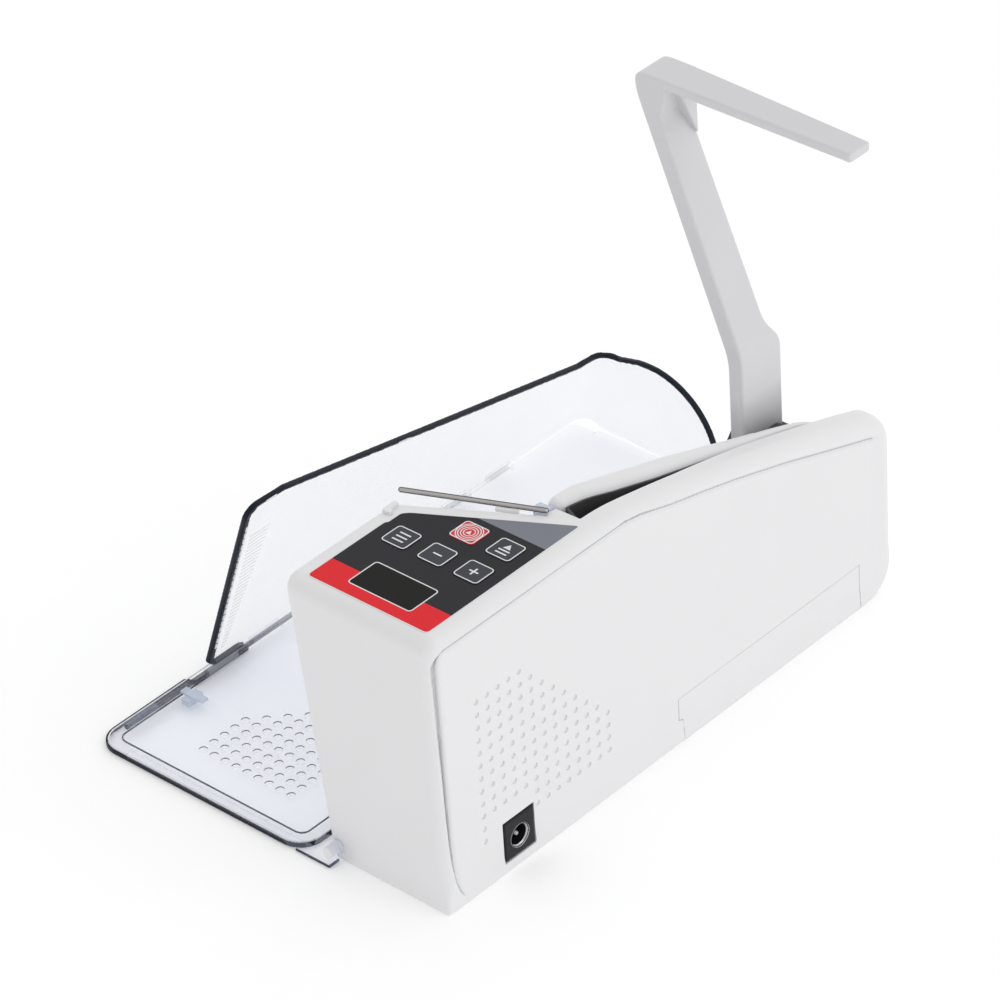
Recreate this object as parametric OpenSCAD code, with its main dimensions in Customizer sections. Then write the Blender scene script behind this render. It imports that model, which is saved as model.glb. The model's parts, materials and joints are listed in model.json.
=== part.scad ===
// Portable banknote counter: wedge-shaped body with a control panel on its tall end,
// a note slot along its sloping top, a folding clear tray and cover in front,
// and a note support arm that folds down along the slope.
// Parts are drawn from the rear corner of the body; from_corner() moves them so that
// the origin is the middle of the underside.  X runs along the body away from the
// control panel, Y runs from the rear face towards the tray, Z is up.

/* [Body] */
// Length of the body
body_l = 226.8; // [226:0.1:228]
// Depth of the body at its underside
body_d = 52; // [51.5:0.1:52.5]
// Height of the control deck
body_h = 105.5; // [105:0.1:106]
// Height of the rear rim at the low end
end_h = 69.5; // [69:0.1:70]
// Where the top starts to slope, from the control end
slope_x = 90; // [88:0.5:92]
// How far the sloping top bulges above a straight line
slope_bulge = 2.4; // [1.5:0.1:2.6]
// Thickness of the moulded walls
wall = 2.2; // [2:0.1:2.4]
// Outward lean of the control box front, per unit of height
box_lean = 0.109; // [0.10:0.001:0.112]
// Gap between moulded parts
seam = 0.2; // [0.15:0.05:0.3]

/* [Control panel] */
// Width of a key along the body
key_w = 9.6; // [9:0.1:9.8]
// Length of a key across the body
key_l = 10.2; // [9.6:0.1:10.4]
// Height of a key above the overlay
key_proud = 0.35; // [0.2:0.05:0.5]
// Travel of a key before it meets its switch
key_travel = 0.5; // [0.5:0.1:0.8]

/* [Vents] */
// Spacing of the vent holes
vent_pitch = 5; // [4.9:0.05:5.1]
// Diameter of a vent hole in the rear face
vent_d = 1.9; // [1.5:0.1:2.2]
// Diameter of a vent hole in the tray
tray_vent_d = 2.6; // [2:0.1:3]

/* [Tray and cover] */
// Height of the tray pivot above the desk
pivot_z = 6; // [6:0.1:6.2]
// Distance of the tray pivot from the rear face
pivot_y = 47.5; // [47.3:0.1:47.6]
// Outer edge of the tray, from the rear face
tray_far = 153.6; // [152:0.1:154]
// Overhang of the tray beyond each end of the body
tray_over = 5.6; // [5.2:0.1:5.8]
// Thickness of the tray plate
tray_t = 1.8; // [1.6:0.1:2]
// Angle between the tray and the cover, measured from the tray's outward direction
cover_angle = 110; // [106:1:112]
// Thickness of the cover plate
cover_t = 1.9; // [1.8:0.1:2]
// Tallest reach of the cover above its hinge
cover_reach = 85; // [82:1:86]

/* [Note arm] */
// Width of the arm strip
arm_w = 20.4; // [19:0.1:20.6]
// Thickness of the arm strip
arm_t = 6; // [5.5:0.1:6]
// Height of the arm pivot
arm_pivot_z = 74; // [73.8:0.1:74.2]
// Lean of the long leg away from upright
arm_lean = 20.2; // [19.5:0.1:21]
// Reach of the top bar back over the body
bar_l = 85.5; // [80:0.5:90]

/* [Drive] */
// Radius of the feed rollers
feed_r = 11; // [10.6:0.1:11]
// Radius of the outfeed rollers
out_r = 8; // [7.8:0.1:8]
// Radius of every roller shaft
shaft_r = 2.5; // [2.4:0.1:2.6]

/* [Hidden] */
$fn = 48;
run_gap = 0.06;
slope_run = body_l - slope_x;

// Panel positions, from the rear corner
overlay_x0 = 5.4;
overlay_y0 = 5.9;
overlay_y1 = 56;
overlay_z = body_h - 0.5;
key_x1 = 37.7;
key_x2 = 52.6;
key_ys = [15.6, 30.8, 46];
display_x0 = 10.2;
display_y0 = 17.4;
display_w = 13.4;
display_l = 26.2;
// Height at which a pressed key stem stops, just above its switch
switch_z = 100.6;
// The diagonal end of the control box: where it meets the rear face, and its slope
diag_x = 85.2;
diag_run = 0.5727;

// Gear train: module and tooth counts
gear_m = 1;
feed_teeth = 33;
out_teeth = 21;
pinion_teeth = 11;

// Drive layout, as [y, z] of each axis
feed_yz = [29.6, 46];
out_spacing = gear_m * (feed_teeth + out_teeth) / 2;
out_dir = -72.1;
out_yz = feed_yz + out_spacing * [cos(out_dir), sin(out_dir)];
motor_spacing = gear_m * (feed_teeth + pinion_teeth) / 2;
motor_dir = 100;
motor_yz = feed_yz + motor_spacing * [cos(motor_dir), sin(motor_dir)];
pinch_r = 4.4;
pinch_yz = out_yz + [4.1, 12.6];
retard_r = 5.4;
retard_yz = [feed_yz[0] - feed_r - retard_r - 0.5, feed_yz[1] + 1];
roller_xs = [92, 118, 144, 170];
gear_x0 = 67;
gear_w = 6;
plate_x0 = 80.4;
plate_x1 = 190;
plate_t = 2;
shaft_end = 198;

cover_plate_t = 2.2;

// Battery bay along the rear bottom edge
bay_x0 = 113.3;
bay_x1 = 208;
door_h = 18.1;
door_wrap = 22;

// First hole of each vent field
vent_x = 19.06;
vent_z = 73.24;
tray_vent_x = 12.9;
tray_vent_y = 121.2;

// Tray and cover
tray_near = 58;
hinge_y = 148;
hinge_z = 4;
cover_x0 = 40.4;
cover_x1 = 235.9;
peak_x = 57;
cover_end_h = 31;
knuckle_r = 1.9;

// Arm
arm_x = 184.3;
arm_y = 20.6;
joggle_h = 34;
leg_rise = 94.4;
bar_t = 3.6;
bracket_y0 = 14.4;

// ---- shared shapes -------------------------------------------------------

// Moves a part from rear-corner coordinates into the object's own frame.
module from_corner() translate([-body_l / 2, -body_d / 2, 0]) children();

// Points of an arc about [cx, cz].
function arc(cx, cz, r, a0, a1, n = 8) =
    [for (i = [0 : n]) let (a = a0 + (a1 - a0) * i / n) [cx + r * cos(a), cz + r * sin(a)]];

// Height of the rear rim at a distance x from the control end.
function top_z(x) = x <= slope_x ? body_h
    : let (t = (x - slope_x) / slope_run)
      body_h - (body_h - end_h) * t + slope_bulge * 4 * t * (1 - t);

// Outline of the body seen from the rear, d inside its surface, with its foot at z0.
function side_points(d, z0) = concat(
    [[d, z0]],
    z0 < d ? [[body_l - 16, z0]] : [],
    arc(body_l - 16, 16, 16 - d, -90, 0),
    arc(body_l - 10, top_z(body_l - 3) - 9, 10 - d, 0, 66),
    [for (x = [body_l - 12 : -8 : slope_x]) [x, top_z(x) - d]],
    [[slope_x - 4, body_h - d]],
    arc(6 + d / 2, body_h - 6 - d / 2, 6 - d / 2, 90, 180, 6)
);

// A slab with the body's side outline between two depths.
module side_slab(y0, y1, d, z0)
    translate([0, y1, 0]) rotate([90, 0, 0]) linear_extrude(y1 - y0) polygon(side_points(d, z0));

// A shape drawn as [y, z], extruded along the body from x0 over a length.
module along_x(x0, length) translate([x0, 0, 0]) rotate([90, 0, 90]) linear_extrude(length) children();

// A round bar or disc along the body.
module rod_x(x0, length, yz, r) translate([x0, yz[0], yz[1]]) rotate([0, 90, 0]) cylinder(h = length, r = r);

// A round bar across the body.
module rod_y(y0, length, xz, r) translate([xz[0], y0, xz[1]]) rotate([-90, 0, 0]) cylinder(h = length, r = r);

module block(x0, x1, y0, y1, z0, z1) translate([x0, y0, z0]) cube([x1 - x0, y1 - y0, z1 - z0]);

// A plate with rounded upright edges.
module soft_plate(x0, x1, y0, y1, z0, z1, r) translate([0, 0, z0]) linear_extrude(z1 - z0) union() {
    translate([x0 + r, y0]) square([x1 - x0 - 2 * r, y1 - y0]);
    translate([x0, y0 + r]) square([x1 - x0, y1 - y0 - 2 * r]);
    for (x = [x0 + r, x1 - r], y = [y0 + r, y1 - r]) translate([x, y]) circle(r);
}

// ---- body shapes ---------------------------------------------------------

// The control box: leaning front, rounded rear corner, diagonal inner end.
module control_box(d, z0) intersection() {
    along_x(d, diag_x) polygon(concat(
        [[d, z0], [body_d - d, z0]],
        [[body_d - d + box_lean * (body_h - 6), body_h - 6]],
        arc(body_d + box_lean * body_h - 4.5 - d, body_h - 3.6 - d, 3.6, 0, 90, 5),
        arc(5 + d, body_h - 5 - d, 5, 90, 180, 5)));
    translate([0, 0, z0]) linear_extrude(body_h + 1 - z0) polygon(concat(
        arc(5 + d / 2, 5 + d / 2, 5 - d / 2, 180, 270, 5),
        [[diag_x - 1.16 * d - 1, d], [diag_x - diag_run * 70 - 1.16 * d, 70]],
        [[d, 70]]));
}

// Cross-section of the front of the body, as [y, z], at the tall and the low end.
function tall_section(d) =
    [[9, 0], [body_d - d, 0], [53.5 - d, 50 - d / 2], [24 - d, 91 - d], [9, 91 - d]];
function low_section(d) =
    [[9, 0], [body_d - d, 0], [53 - d, 34 - d / 2], [44 - d, 42 - d], [12, 62 - d], [9, 62 - d]];

// The bulge in front of the note slot.
module front_bulge(d) hull() {
    along_x(48 + d, 0.1) polygon(tall_section(d));
    along_x(body_l - d - 0.1, 0.1) polygon(low_section(d));
}

// Edges of the note slot in plan.
slot_rear = [[79.7, 8.9], [95, 8.3], [125, 8.6], [144, 9.3], [161, 9.8], [205, 9.6]];
slot_front = [[205, 11], [175, 11.3], [161, 11.4], [147, 11.8], [135, 12.2], [120, 13],
    [103, 15.2], [91, 17.8], [84, 18.6]];
slot_mouth = [[80, 20.6], [75.6, 18.4], [77.4, 14.4]];
lip_front = [[86, 25.6], [94, 25.8], [104, 24.5], [116, 23], [131, 21.3], [145, 19.1],
    [159, 17], [175, 15.2], [189, 13.4], [205, 12.2]];

// Outline of the raised lip in front of the slot, with a round end.
function lip_points() = concat(slot_front, arc(85.2, 22.1, 3.6, 260, 100, 8), lip_front);

module note_lip() intersection() {
    translate([0, 0, 54]) linear_extrude(60) polygon(lip_points());
    side_slab(5, 40, 0.4, 0);
}

// Everything the slot cuts away.
module slot_cut() translate([0, 0, 48]) linear_extrude(70) polygon(concat(slot_rear, slot_front, slot_mouth));

// Columns and rows of a square vent field with one corner cut off.
function vent_field(columns, rows) =
    [for (i = [0 : columns - 1], j = [0 : rows - 1]) if (j >= i - 4) [i, j]];

// The rear vents leave out the two lowest rows above the socket.
rear_vents = [for (c = vent_field(13, 12)) if (c[1] < 10 || c[0] == 0 || c[0] > 4) c];

// ---- enclosure -----------------------------------------------------------

// Square boss that a case screw bites into, reaching back to the wall beside it.
module screw_boss(p, y0, y1) difference() {
    block(p[0] - 3, p[0] + 3, y0, y1, 2.4, 12);
    translate([p[0], p[1], 2]) cylinder(h = 8, r = 1.22);
}

module rear_shell() color([0.92, 0.92, 0.93]) from_corner() {
    rear_casing();
    for (p = [screw_places[0], screw_places[2]]) screw_boss(p, wall - 0.5, 9);
    screw_boss(screw_places[1], 43.4, body_d - wall + 0.5);
}

module rear_casing() difference() {
    union() {
        side_slab(0, 9, 0, 0);
        control_box(0, 0);
        intersection() {
            along_x(body_l - wall, wall) polygon(low_section(0));
            side_slab(0, body_d + 2, 0, 0);
        }
        intersection() {
            side_slab(0, 12, 0, 0);
            translate([0, 0, 55]) linear_extrude(60)
                polygon(concat([[slope_x - 8, 0], [body_l, 0], [body_l, 8], [206, 11.8]],
                    [for (i = [len(slot_rear) - 1 : -1 : 0]) slot_rear[i]]));
        }
    }
    side_slab(wall, 9.1, wall, -1);
    control_box(wall, -1);
    intersection() {
        side_slab(wall, 12.6, 6, 0);
        block(diag_x, body_l - wall, wall, 7.4, -1, 92);
    }
    // open to the feed space, so no wall crosses under the diagonal
    front_space();
    // note slot and vents
    slot_cut();
    for (c = rear_vents)
        rod_y(-1, wall + 2, [vent_x + vent_pitch * c[0], vent_z - vent_pitch * c[1]], vent_d / 2);
    // socket opening, battery opening and pin holes
    block(27, 42, -1, wall + 1, 4, 20);
    block(bay_x0, bay_x1, -1, wall + 1, -1, door_h);
    rod_x(-1, body_l + 2, [pivot_y, pivot_z], 2.02);
    // seat of the bottom cover
    block(wall + 0.1, body_l - 16.8, wall + 0.1, body_d - wall - 0.1, -1, cover_plate_t + seam);
    // recess for the overlay, windows for the display and the keys
    translate([0, 0, overlay_z]) linear_extrude(2) polygon(overlay_points(seam / 2));
    display_block(0.6, 95, 110);
    for (p = key_places) key_hole(p, 0.4);
}

// The hollow behind the front bulge.
module front_space() intersection() {
    front_bulge(wall);
    block(50, body_l - wall, 9, 60, -1, 92);
}

// Outline of the printed overlay, d larger than the film itself.
function overlay_points(d) = [
    [overlay_x0 - d, overlay_y0 - d], [76.1 + d, overlay_y0 - d], [76.5 + d, overlay_y0 + 0.7],
    [49.2 + d, 53.6 + d], [47.4, 55 + d], [41.6, overlay_y1 - 1 + d], [41, overlay_y1 + d],
    [overlay_x0 - d, overlay_y1 + d]];

// A block over the display, inset by d on each side.
module display_block(d, z0, z1)
    block(display_x0 + d, display_x0 + display_w - d, display_y0 + d, display_y0 + display_l - d, z0, z1);

// Batch, minus, plus, start and add keys.
key_places = [[key_x1, key_ys[2]], [key_x1, key_ys[1]], [key_x1, key_ys[0]],
    [key_x2, key_ys[1]], [key_x2, key_ys[0]]];

module key_hole(p, d) let (w = key_w / 2 + d, l = key_l / 2 + d)
    soft_plate(p[0] - w, p[0] + w, p[1] - l, p[1] + l, 95, 110, 1.6);

module front_shell() color([0.91, 0.91, 0.92]) from_corner() {
    front_casing();
    for (p = [screw_places[3], screw_places[4]]) screw_boss(p, 43.4, body_d - wall + 0.5);
}

module front_casing() difference() {
    union() {
        intersection() {
            difference() {
                front_bulge(0);
                front_bulge(wall);
            }
            side_slab(9 + seam, 70, 0, -1);
            block(40, body_l - wall - seam, 12, 70, 0, 120);
        }
        note_lip();
    }
    // clear of the control box and of the rear rim
    control_box(-seam, -1);
    intersection() {
        side_slab(0, 12 + seam, -1, 0);
        translate([0, 0, -1]) linear_extrude(120)
            polygon([[60, -1], [body_l, -1], [body_l, 9], [206, 12.1], [204, 11.1], [60, 9.2]]);
    }
    // hollow under the lip
    intersection() {
        block(60, body_l - wall - 0.3, 12, 46, -1, 110);
        hull() {
            along_x(80, 0.1) polygon([[12, 0], [46, 0], [20.5, 84], [12, 84]]);
            along_x(body_l - 3, 0.1) polygon([[12, 0], [40, 0], [12.1, 55], [12, 55]]);
        }
    }
    slot_cut();
    // outlet for the counted notes
    block(84, 212, 46, 60, 24.5, 32.5);
    // pocket for the arm bracket
    block(arm_x - 12.4, arm_x + 12.4, bracket_y0 - seam, arm_y + 9.2, 57.8, 96);
    // clear of the tray pivots
    block(40, body_l, 48, 60, -1, 0.6);
}

module bottom_cover() color([0.86, 0.86, 0.87]) from_corner() difference() {
    block(wall + seam, body_l - 17, wall + seam, body_d - wall - 0.4, 0, cover_plate_t);
    block(bay_x0 - seam, bay_x1 + seam, -1, door_wrap + seam, -1, 3);
    for (p = foot_places) translate([p[0], p[1], -1]) cylinder(h = 2, r = 4.1);
    for (p = screw_places) translate([p[0], p[1], -1]) {
        cylinder(h = 5, r = 1.3);
        cylinder(h = 2.3, r = 2.3);
    }
}

foot_places = [[12, 12], [12, 40], [96, 16], [200, 38]];
screw_places = [[22, 5.8], [22, 46.4], [104, 5.8], [104, 46.4], [186, 46.4]];

module battery_door() color([0.91, 0.91, 0.92]) from_corner() {
    block(bay_x0 + seam, bay_x1 - seam, 0, 2, 0, door_h - seam);
    block(bay_x0 + seam, bay_x1 - seam, 0, door_wrap, 0, 1.6);
}

// ---- control panel -------------------------------------------------------

module control_overlay() color([0.23, 0.23, 0.25]) from_corner() difference() {
    translate([0, 0, overlay_z]) linear_extrude(0.5) polygon(overlay_points(-0.1));
    display_block(0, 100, 110);
    for (p = key_places) key_hole(p, 0.25);
}

module display_window() color([0.1, 0.1, 0.1]) from_corner()
    soft_plate(display_x0 + 0.1, display_x0 + display_w - 0.1, display_y0 + 0.1,
        display_y0 + display_l - 0.1, overlay_z + 0.02, overlay_z + 0.55, 0.5);

module display_module() color([0.15, 0.15, 0.16]) from_corner()
    display_block(1, 97.7, overlay_z - 0.1);

// A key cap with the stem that reaches down towards its switch.
module key_cap(p) from_corner() {
    soft_plate(p[0] - key_w / 2, p[0] + key_w / 2, p[1] - key_l / 2, p[1] + key_l / 2,
        body_h - 2.6, body_h + key_proud, 1.4);
    translate([p[0], p[1], switch_z + key_travel]) cylinder(h = body_h - 2 - switch_z - key_travel, r = 1.6);
}

module batch_key() color([0.27, 0.28, 0.31]) key_cap(key_places[0]);
module minus_key() color([0.27, 0.28, 0.31]) key_cap(key_places[1]);
module plus_key() color([0.27, 0.28, 0.31]) key_cap(key_places[2]);
module start_key() color([0.85, 0.2, 0.25]) key_cap(key_places[3]);
module add_key() color([0.27, 0.28, 0.31]) key_cap(key_places[4]);

module key_board() color([0.1, 0.4, 0.2]) from_corner() {
    translate([0, 0, 96]) linear_extrude(1.6) polygon([[8, 8], [66, 8], [43, 50], [43, 54], [8, 54]]);
    for (p = key_places) {
        block(p[0] - 3, p[0] + 3, p[1] - 3, p[1] + 3, 97.6, 99.6);
        translate([p[0], p[1], 99.6]) cylinder(h = switch_z - 99.7, r = 1.5);
    }
}

module main_board() color([0.1, 0.4, 0.2]) from_corner() {
    block(8, 52, 9.4, 11, 24, 70);
    block(14, 28, 11, 12.6, 50, 64);
    block(36, 44, 11, 13.2, 34, 48);
    for (x = [14, 22, 30]) rod_y(3, 6.4, [x, 34], 3);
}

module buzzer() color([0.1, 0.1, 0.1]) from_corner() difference() {
    rod_y(8.4, 5, [42, 80], 6);
    rod_y(7, 3, [42, 80], 1);
}

module dc_jack() color([0.08, 0.08, 0.08]) from_corner() {
    difference() {
        union() {
            block(27.2, 41.8, 0.2, wall + 1.6, 4.2, 19.8);
            block(30.5, 38.5, wall + 1.6, 13, 6, 17);
        }
        rod_y(-1, 11, [34.5, 11.5], 4.1);
    }
    rod_y(1.2, 11, [34.5, 11.5], 0.9);
}

// ---- note path -----------------------------------------------------------

// Dark chute that lines the wide part of the slot.
module hopper_liner() color([0.2, 0.2, 0.21]) from_corner() intersection() {
    translate([0, 0, 58]) linear_extrude(60) difference() {
        offset(delta = -0.2) polygon(concat(slot_rear, slot_front));
        offset(delta = -0.9) polygon(concat(slot_rear, slot_front));
        translate([150, 0]) square([100, 40]);
    }
    side_slab(2, 40, 2.4, 0);
}

// Steel guide wire beside the slot.
wire_root = [75.4, 18.8, 106.6];
wire_tip = [56.2, 63.2, 106.6];
wire_len = norm(wire_tip - wire_root);
wire_dir = atan2(wire_tip[1] - wire_root[1], wire_tip[0] - wire_root[0]);

module guide_wire() color([0.7, 0.7, 0.7]) from_corner()
    translate(wire_root) rotate([0, 90, wire_dir]) cylinder(h = wire_len, r = 0.9, $fn = 24);

// Clear cradle under the root of the wire.
module wire_holder() color([0.85, 0.87, 0.9]) from_corner() difference() {
    block(74.9, 78.4, 18.9, 24, 86.9, 106.2);
    translate(wire_root) rotate([0, 90, wire_dir]) translate([0, 0, -6])
        cylinder(h = wire_len, r = 0.93, $fn = 24);
}

// Small catch on the rim that holds the folded cover.
module lid_catch() color([0.9, 0.9, 0.91]) from_corner() {
    block(44.4, 50.4, 58.6, 60.6, body_h + 0.02, body_h + 1.3);
    block(44.4, 46.2, 57.2, 60.6, body_h + 0.02, body_h + 1.3);
}

// ---- note support arm ----------------------------------------------------

// The arm seen along the body, as [y, z]: foot, joggle, leaning leg and top bar.
leg_y = leg_rise * tan(arm_lean);
bar_z = arm_pivot_z + joggle_h + leg_rise;
function arm_profile() = let (y0 = arm_y, z1 = arm_pivot_z + joggle_h, yt = arm_y + leg_y) [
    [y0, arm_pivot_z - 11], [y0 + arm_t, arm_pivot_z - 11], [y0 + arm_t, z1 - 2],
    [y0 + arm_t + 0.8, z1 + 2], [yt + 5.2, bar_z - 6], [yt + 5, bar_z + 1], [yt + 1.5, bar_z + bar_t],
    [yt + 3 - bar_l, bar_z + bar_t], [yt + 3 - bar_l, bar_z + 0.3],
    [yt - 7, bar_z], [yt - 4.4, bar_z - 12], [y0 + 0.6, z1 + 3]];

// The arm seen from the rear, as [x, z]: round foot and slightly tapering legs.
function arm_face() = let (h = arm_w / 2, z1 = arm_pivot_z + joggle_h) concat(
    arc(arm_x, arm_pivot_z, h, 180, 360, 16),
    [[arm_x + h, z1 + 1.5], [arm_x + h - 5.2, z1 + 8], [arm_x + h - 7.8, bar_z + 9],
    [arm_x - h - 1.2, bar_z + 9], [arm_x - h, z1]]);

module note_arm() color([0.84, 0.84, 0.85]) from_corner() difference() {
    intersection() {
        along_x(arm_x - 14, 28) polygon(arm_profile());
        translate([0, 80, 0]) rotate([90, 0, 0]) linear_extrude(140) polygon(arm_face());
    }
    rod_y(arm_y - 1, arm_t + 2, [arm_x, arm_pivot_z], 2 + run_gap);
    // the top bar narrows towards its tip
    translate([0, 0, bar_z - 3]) linear_extrude(20)
        polygon([[arm_x + 20, 44], [arm_x + 2.3, 44], [arm_x - 1.1, -32], [arm_x + 20, -32]]);
}

module arm_bracket() color([0.3, 0.3, 0.31]) from_corner() difference() {
    translate([arm_x, arm_y + 9, 0]) rotate([90, 0, 0]) linear_extrude(arm_y + 9 - bracket_y0)
        polygon([[-12.2, 58], [12.2, 58], [12.2, 73.6], [6, 77.4], [-6, 77.4], [-12.2, 70]]);
    // slot for the arm's foot, open towards the side the arm folds to
    block(arm_x - 11, arm_x + 11, arm_y - 0.3, arm_y + arm_t + 0.3, 62.5, 90);
    block(arm_x - 20, arm_x, arm_y - 0.3, arm_y + arm_t + 0.3, 62.5, 90);
    rod_y(bracket_y0 - 1, 24, [arm_x, arm_pivot_z], 2.01);
}

module arm_pin() color([0.6, 0.6, 0.62]) from_corner() {
    rod_y(arm_y - 2.9, 12.2, [arm_x, arm_pivot_z], 2);
    rod_y(arm_y + 9.02, 1.2, [arm_x, arm_pivot_z], 3.4);
}

// ---- tray and cover ------------------------------------------------------

module tray() color([0.85, 0.88, 0.93, 0.5]) from_corner() difference() {
    union() {
        soft_plate(-tray_over, body_l + tray_over, tray_near, tray_far, 0.2, 0.2 + tray_t, 9);
        // raised rims along both sides, ending in the pivot ears
        for (x = [-tray_over, body_l + tray_over - 3]) {
            block(x, x + 3, 66, 139, 0.2, 3.4);
            block(x, x + 3, pivot_y, 70, 0.2, 3.4);
            rod_x(x, 3, [pivot_y, pivot_z], 5.6);
            hull() {
                rod_x(x, 3, [pivot_y + 1, pivot_z - 2.6], 3, $fn = 24);
                block(x, x + 3, 60, 62, 0.2, 3.4);
            }
        }
        // hinge knuckles for the cover
        for (x = [4, 60, 120, 180]) rod_x(x, 14, [hinge_y, hinge_z], knuckle_r);
        for (x = [4, 60, 120, 180]) block(x, x + 14, hinge_y - 1.2, hinge_y + 1.2, 1, hinge_z);
    }
    rod_x(-20, body_l + 40, [pivot_y, pivot_z], 2 + run_gap);
    rod_x(-20, body_l + 40, [hinge_y, hinge_z], 1.0);
    for (c = vent_field(13, 9))
        translate([tray_vent_x + vent_pitch * c[0], tray_vent_y - vent_pitch * c[1], -1])
            cylinder(h = 5, r = tray_vent_d / 2, $fn = 20);
}

module tray_pins() color([0.7, 0.7, 0.72]) from_corner() {
    for (x = [-tray_over + 0.2, body_l - 6]) rod_x(x, tray_over + 5.6, [pivot_y, pivot_z], 2);
}

module tray_clip() color([0.8, 0.84, 0.9]) from_corner() {
    block(26, 33, 140.6, 144.2, 2.02, 4.6);
    block(28, 31, 136, 146.4, 4.6, 5.6);
}

// Outline of the cover plate: x along the hinge, reach above it.
function cover_outline() = concat(
    [[cover_x0 + 4, 2.6], [cover_x0 + 0.4, 6], [cover_x0, 80]],
    arc(cover_x0 + 4.5, cover_reach - 4.5, 4.5, 180, 90, 4),
    [[peak_x, cover_reach]],
    [[cover_x1 - 12, cover_end_h + 3.4], [cover_x1 - 8, cover_end_h + 1.6], [cover_x1 - 8, 2.6]]);

// Turns a shape drawn flat at the hinge into the cover's resting lean.
module cover_lean() translate([0, hinge_y, hinge_z]) rotate([cover_angle, 0, 0]) children();

module cover() color([0.85, 0.88, 0.93, 0.4]) from_corner() difference() {
    cover_lean() union() {
        translate([0, 0, -cover_t / 2]) linear_extrude(cover_t) polygon(cover_outline());
        // rounded corner and the wall at the low end
        intersection() {
            translate([cover_x1 - 8, 0, 8 - cover_t / 2]) rotate([-90, 0, 0]) difference() {
                cylinder(h = 60, r = 8);
                translate([0, 0, -1]) cylinder(h = 62, r = 8 - cover_t);
            }
            translate([cover_x1 - 8, 2.6, -1]) cube([9, cover_end_h - 1, 9]);
        }
        translate([cover_x1 - cover_t, 0, 8 - cover_t / 2]) rotate([90, 0, 90]) linear_extrude(cover_t)
            polygon(concat([[2.6, 0], [cover_end_h + 1.6, 0]], arc(14.9, 22.2, 31, -40, 83, 14)));
        // hinge knuckles between the tray's own
        for (x = [42, 100, 160]) translate([x, 0, 0]) rotate([0, 90, 0]) cylinder(h = 14, r = knuckle_r);
        for (x = [42, 100, 160]) translate([x, 0, -cover_t / 2]) cube([14, 4, cover_t]);
    }
    rod_x(30, 190, [hinge_y, hinge_z], 1 + run_gap);
}

module cover_pin() color([0.6, 0.6, 0.62]) from_corner() rod_x(4, 190, [hinge_y, hinge_z], 0.98);

// ---- drive ---------------------------------------------------------------

// Outline of a gear of n teeth with a tooth centred on angle a.
function gear_points(n, a) = let (p = 360 / n, r = gear_m * n / 2)
    [for (i = [0 : n - 1], k = [[-0.3, -1.2], [-0.2, 0], [-0.09, 0.85], [0.09, 0.85], [0.2, 0], [0.3, -1.2]])
        let (t = a + (i + k[0]) * p, q = r + k[1] * gear_m) [q * cos(t), q * sin(t)]];

// Tooth angle that puts a gear of n2 teeth in mesh, in direction th, with one of n1 teeth at a1.
function mesh_angle(th, n1, a1, n2) =
    let (p = 360 / n1, d = a1 + round((th - a1) / p) * p - th) th + 180 - d * n1 / n2 + 180 / n2;

module gear(n, a, yz, bore) translate([gear_x0, yz[0], yz[1]]) rotate([90, 0, 90]) difference() {
    linear_extrude(gear_w) polygon(gear_points(n, a));
    translate([0, 0, -1]) cylinder(h = gear_w + 2, r = bore);
}

module motor() color([0.7, 0.71, 0.73]) from_corner() difference() {
    union() {
        rod_x(18, 36, motor_yz, 11);
        rod_x(54, 2.6, motor_yz, 4);
        rod_x(15.5, 2.5, motor_yz, 5);
    }
    rod_x(46, 12, motor_yz, 1.1);
}

module motor_bracket() color([0.5, 0.51, 0.53]) from_corner() difference() {
    block(54.2, 55.8, 2.4, motor_yz[0] + 11, motor_yz[1] - 12, motor_yz[1] + 12);
    rod_x(53, 4, motor_yz, 4.1);
    for (a = [45, 225]) translate([0, 8 * cos(a), 8 * sin(a)]) rod_x(53, 4, motor_yz, 1.2);
}

module motor_pinion() color([0.8, 0.75, 0.6]) from_corner() union() {
    gear(pinion_teeth, mesh_angle(motor_dir, feed_teeth, 90, pinion_teeth), motor_yz, 0.5);
    rod_x(48, 25, motor_yz, 1);
}

module feed_gear() color([0.93, 0.93, 0.9]) from_corner() gear(feed_teeth, 90, feed_yz, shaft_r + 0.01);

module outfeed_gear() color([0.93, 0.93, 0.9]) from_corner()
    gear(out_teeth, mesh_angle(out_dir, feed_teeth, 90, out_teeth), out_yz, shaft_r + 0.01);

module feed_shaft() color([0.75, 0.75, 0.77]) from_corner() rod_x(66, shaft_end - 66, feed_yz, shaft_r);
module outfeed_shaft() color([0.75, 0.75, 0.77]) from_corner() rod_x(66, shaft_end - 66, out_yz, shaft_r);

// Rollers on a shaft, as one row of separate sleeves.
module roller_row(xs, w, yz, r, bore) for (x = xs) difference() {
    rod_x(x, w, yz, r);
    rod_x(x - 1, w + 2, yz, bore);
}

module feed_rollers() color([0.2, 0.2, 0.2]) from_corner()
    roller_row([92, 118, 144], 12, feed_yz, feed_r, shaft_r + 0.01);
module outfeed_rollers() color([0.2, 0.2, 0.2]) from_corner()
    roller_row(roller_xs, 10, out_yz, out_r, shaft_r + 0.01);

module encoder_disc() color([0.1, 0.1, 0.1]) from_corner() difference() {
    rod_x(195, 0.8, out_yz, 7.5);
    rod_x(194, 3, out_yz, shaft_r + 0.01);
    for (a = [0 : 45 : 315]) translate([194, out_yz[0], out_yz[1]]) rotate([a, 0, 0])
        translate([0, -0.7, 4.4]) cube([3, 1.4, 2.2]);
}

module idle_shaft(yz) rod_x(plate_x0 + 0.2, plate_x1 - plate_x0 + 1.6, yz, 1.5);

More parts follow.
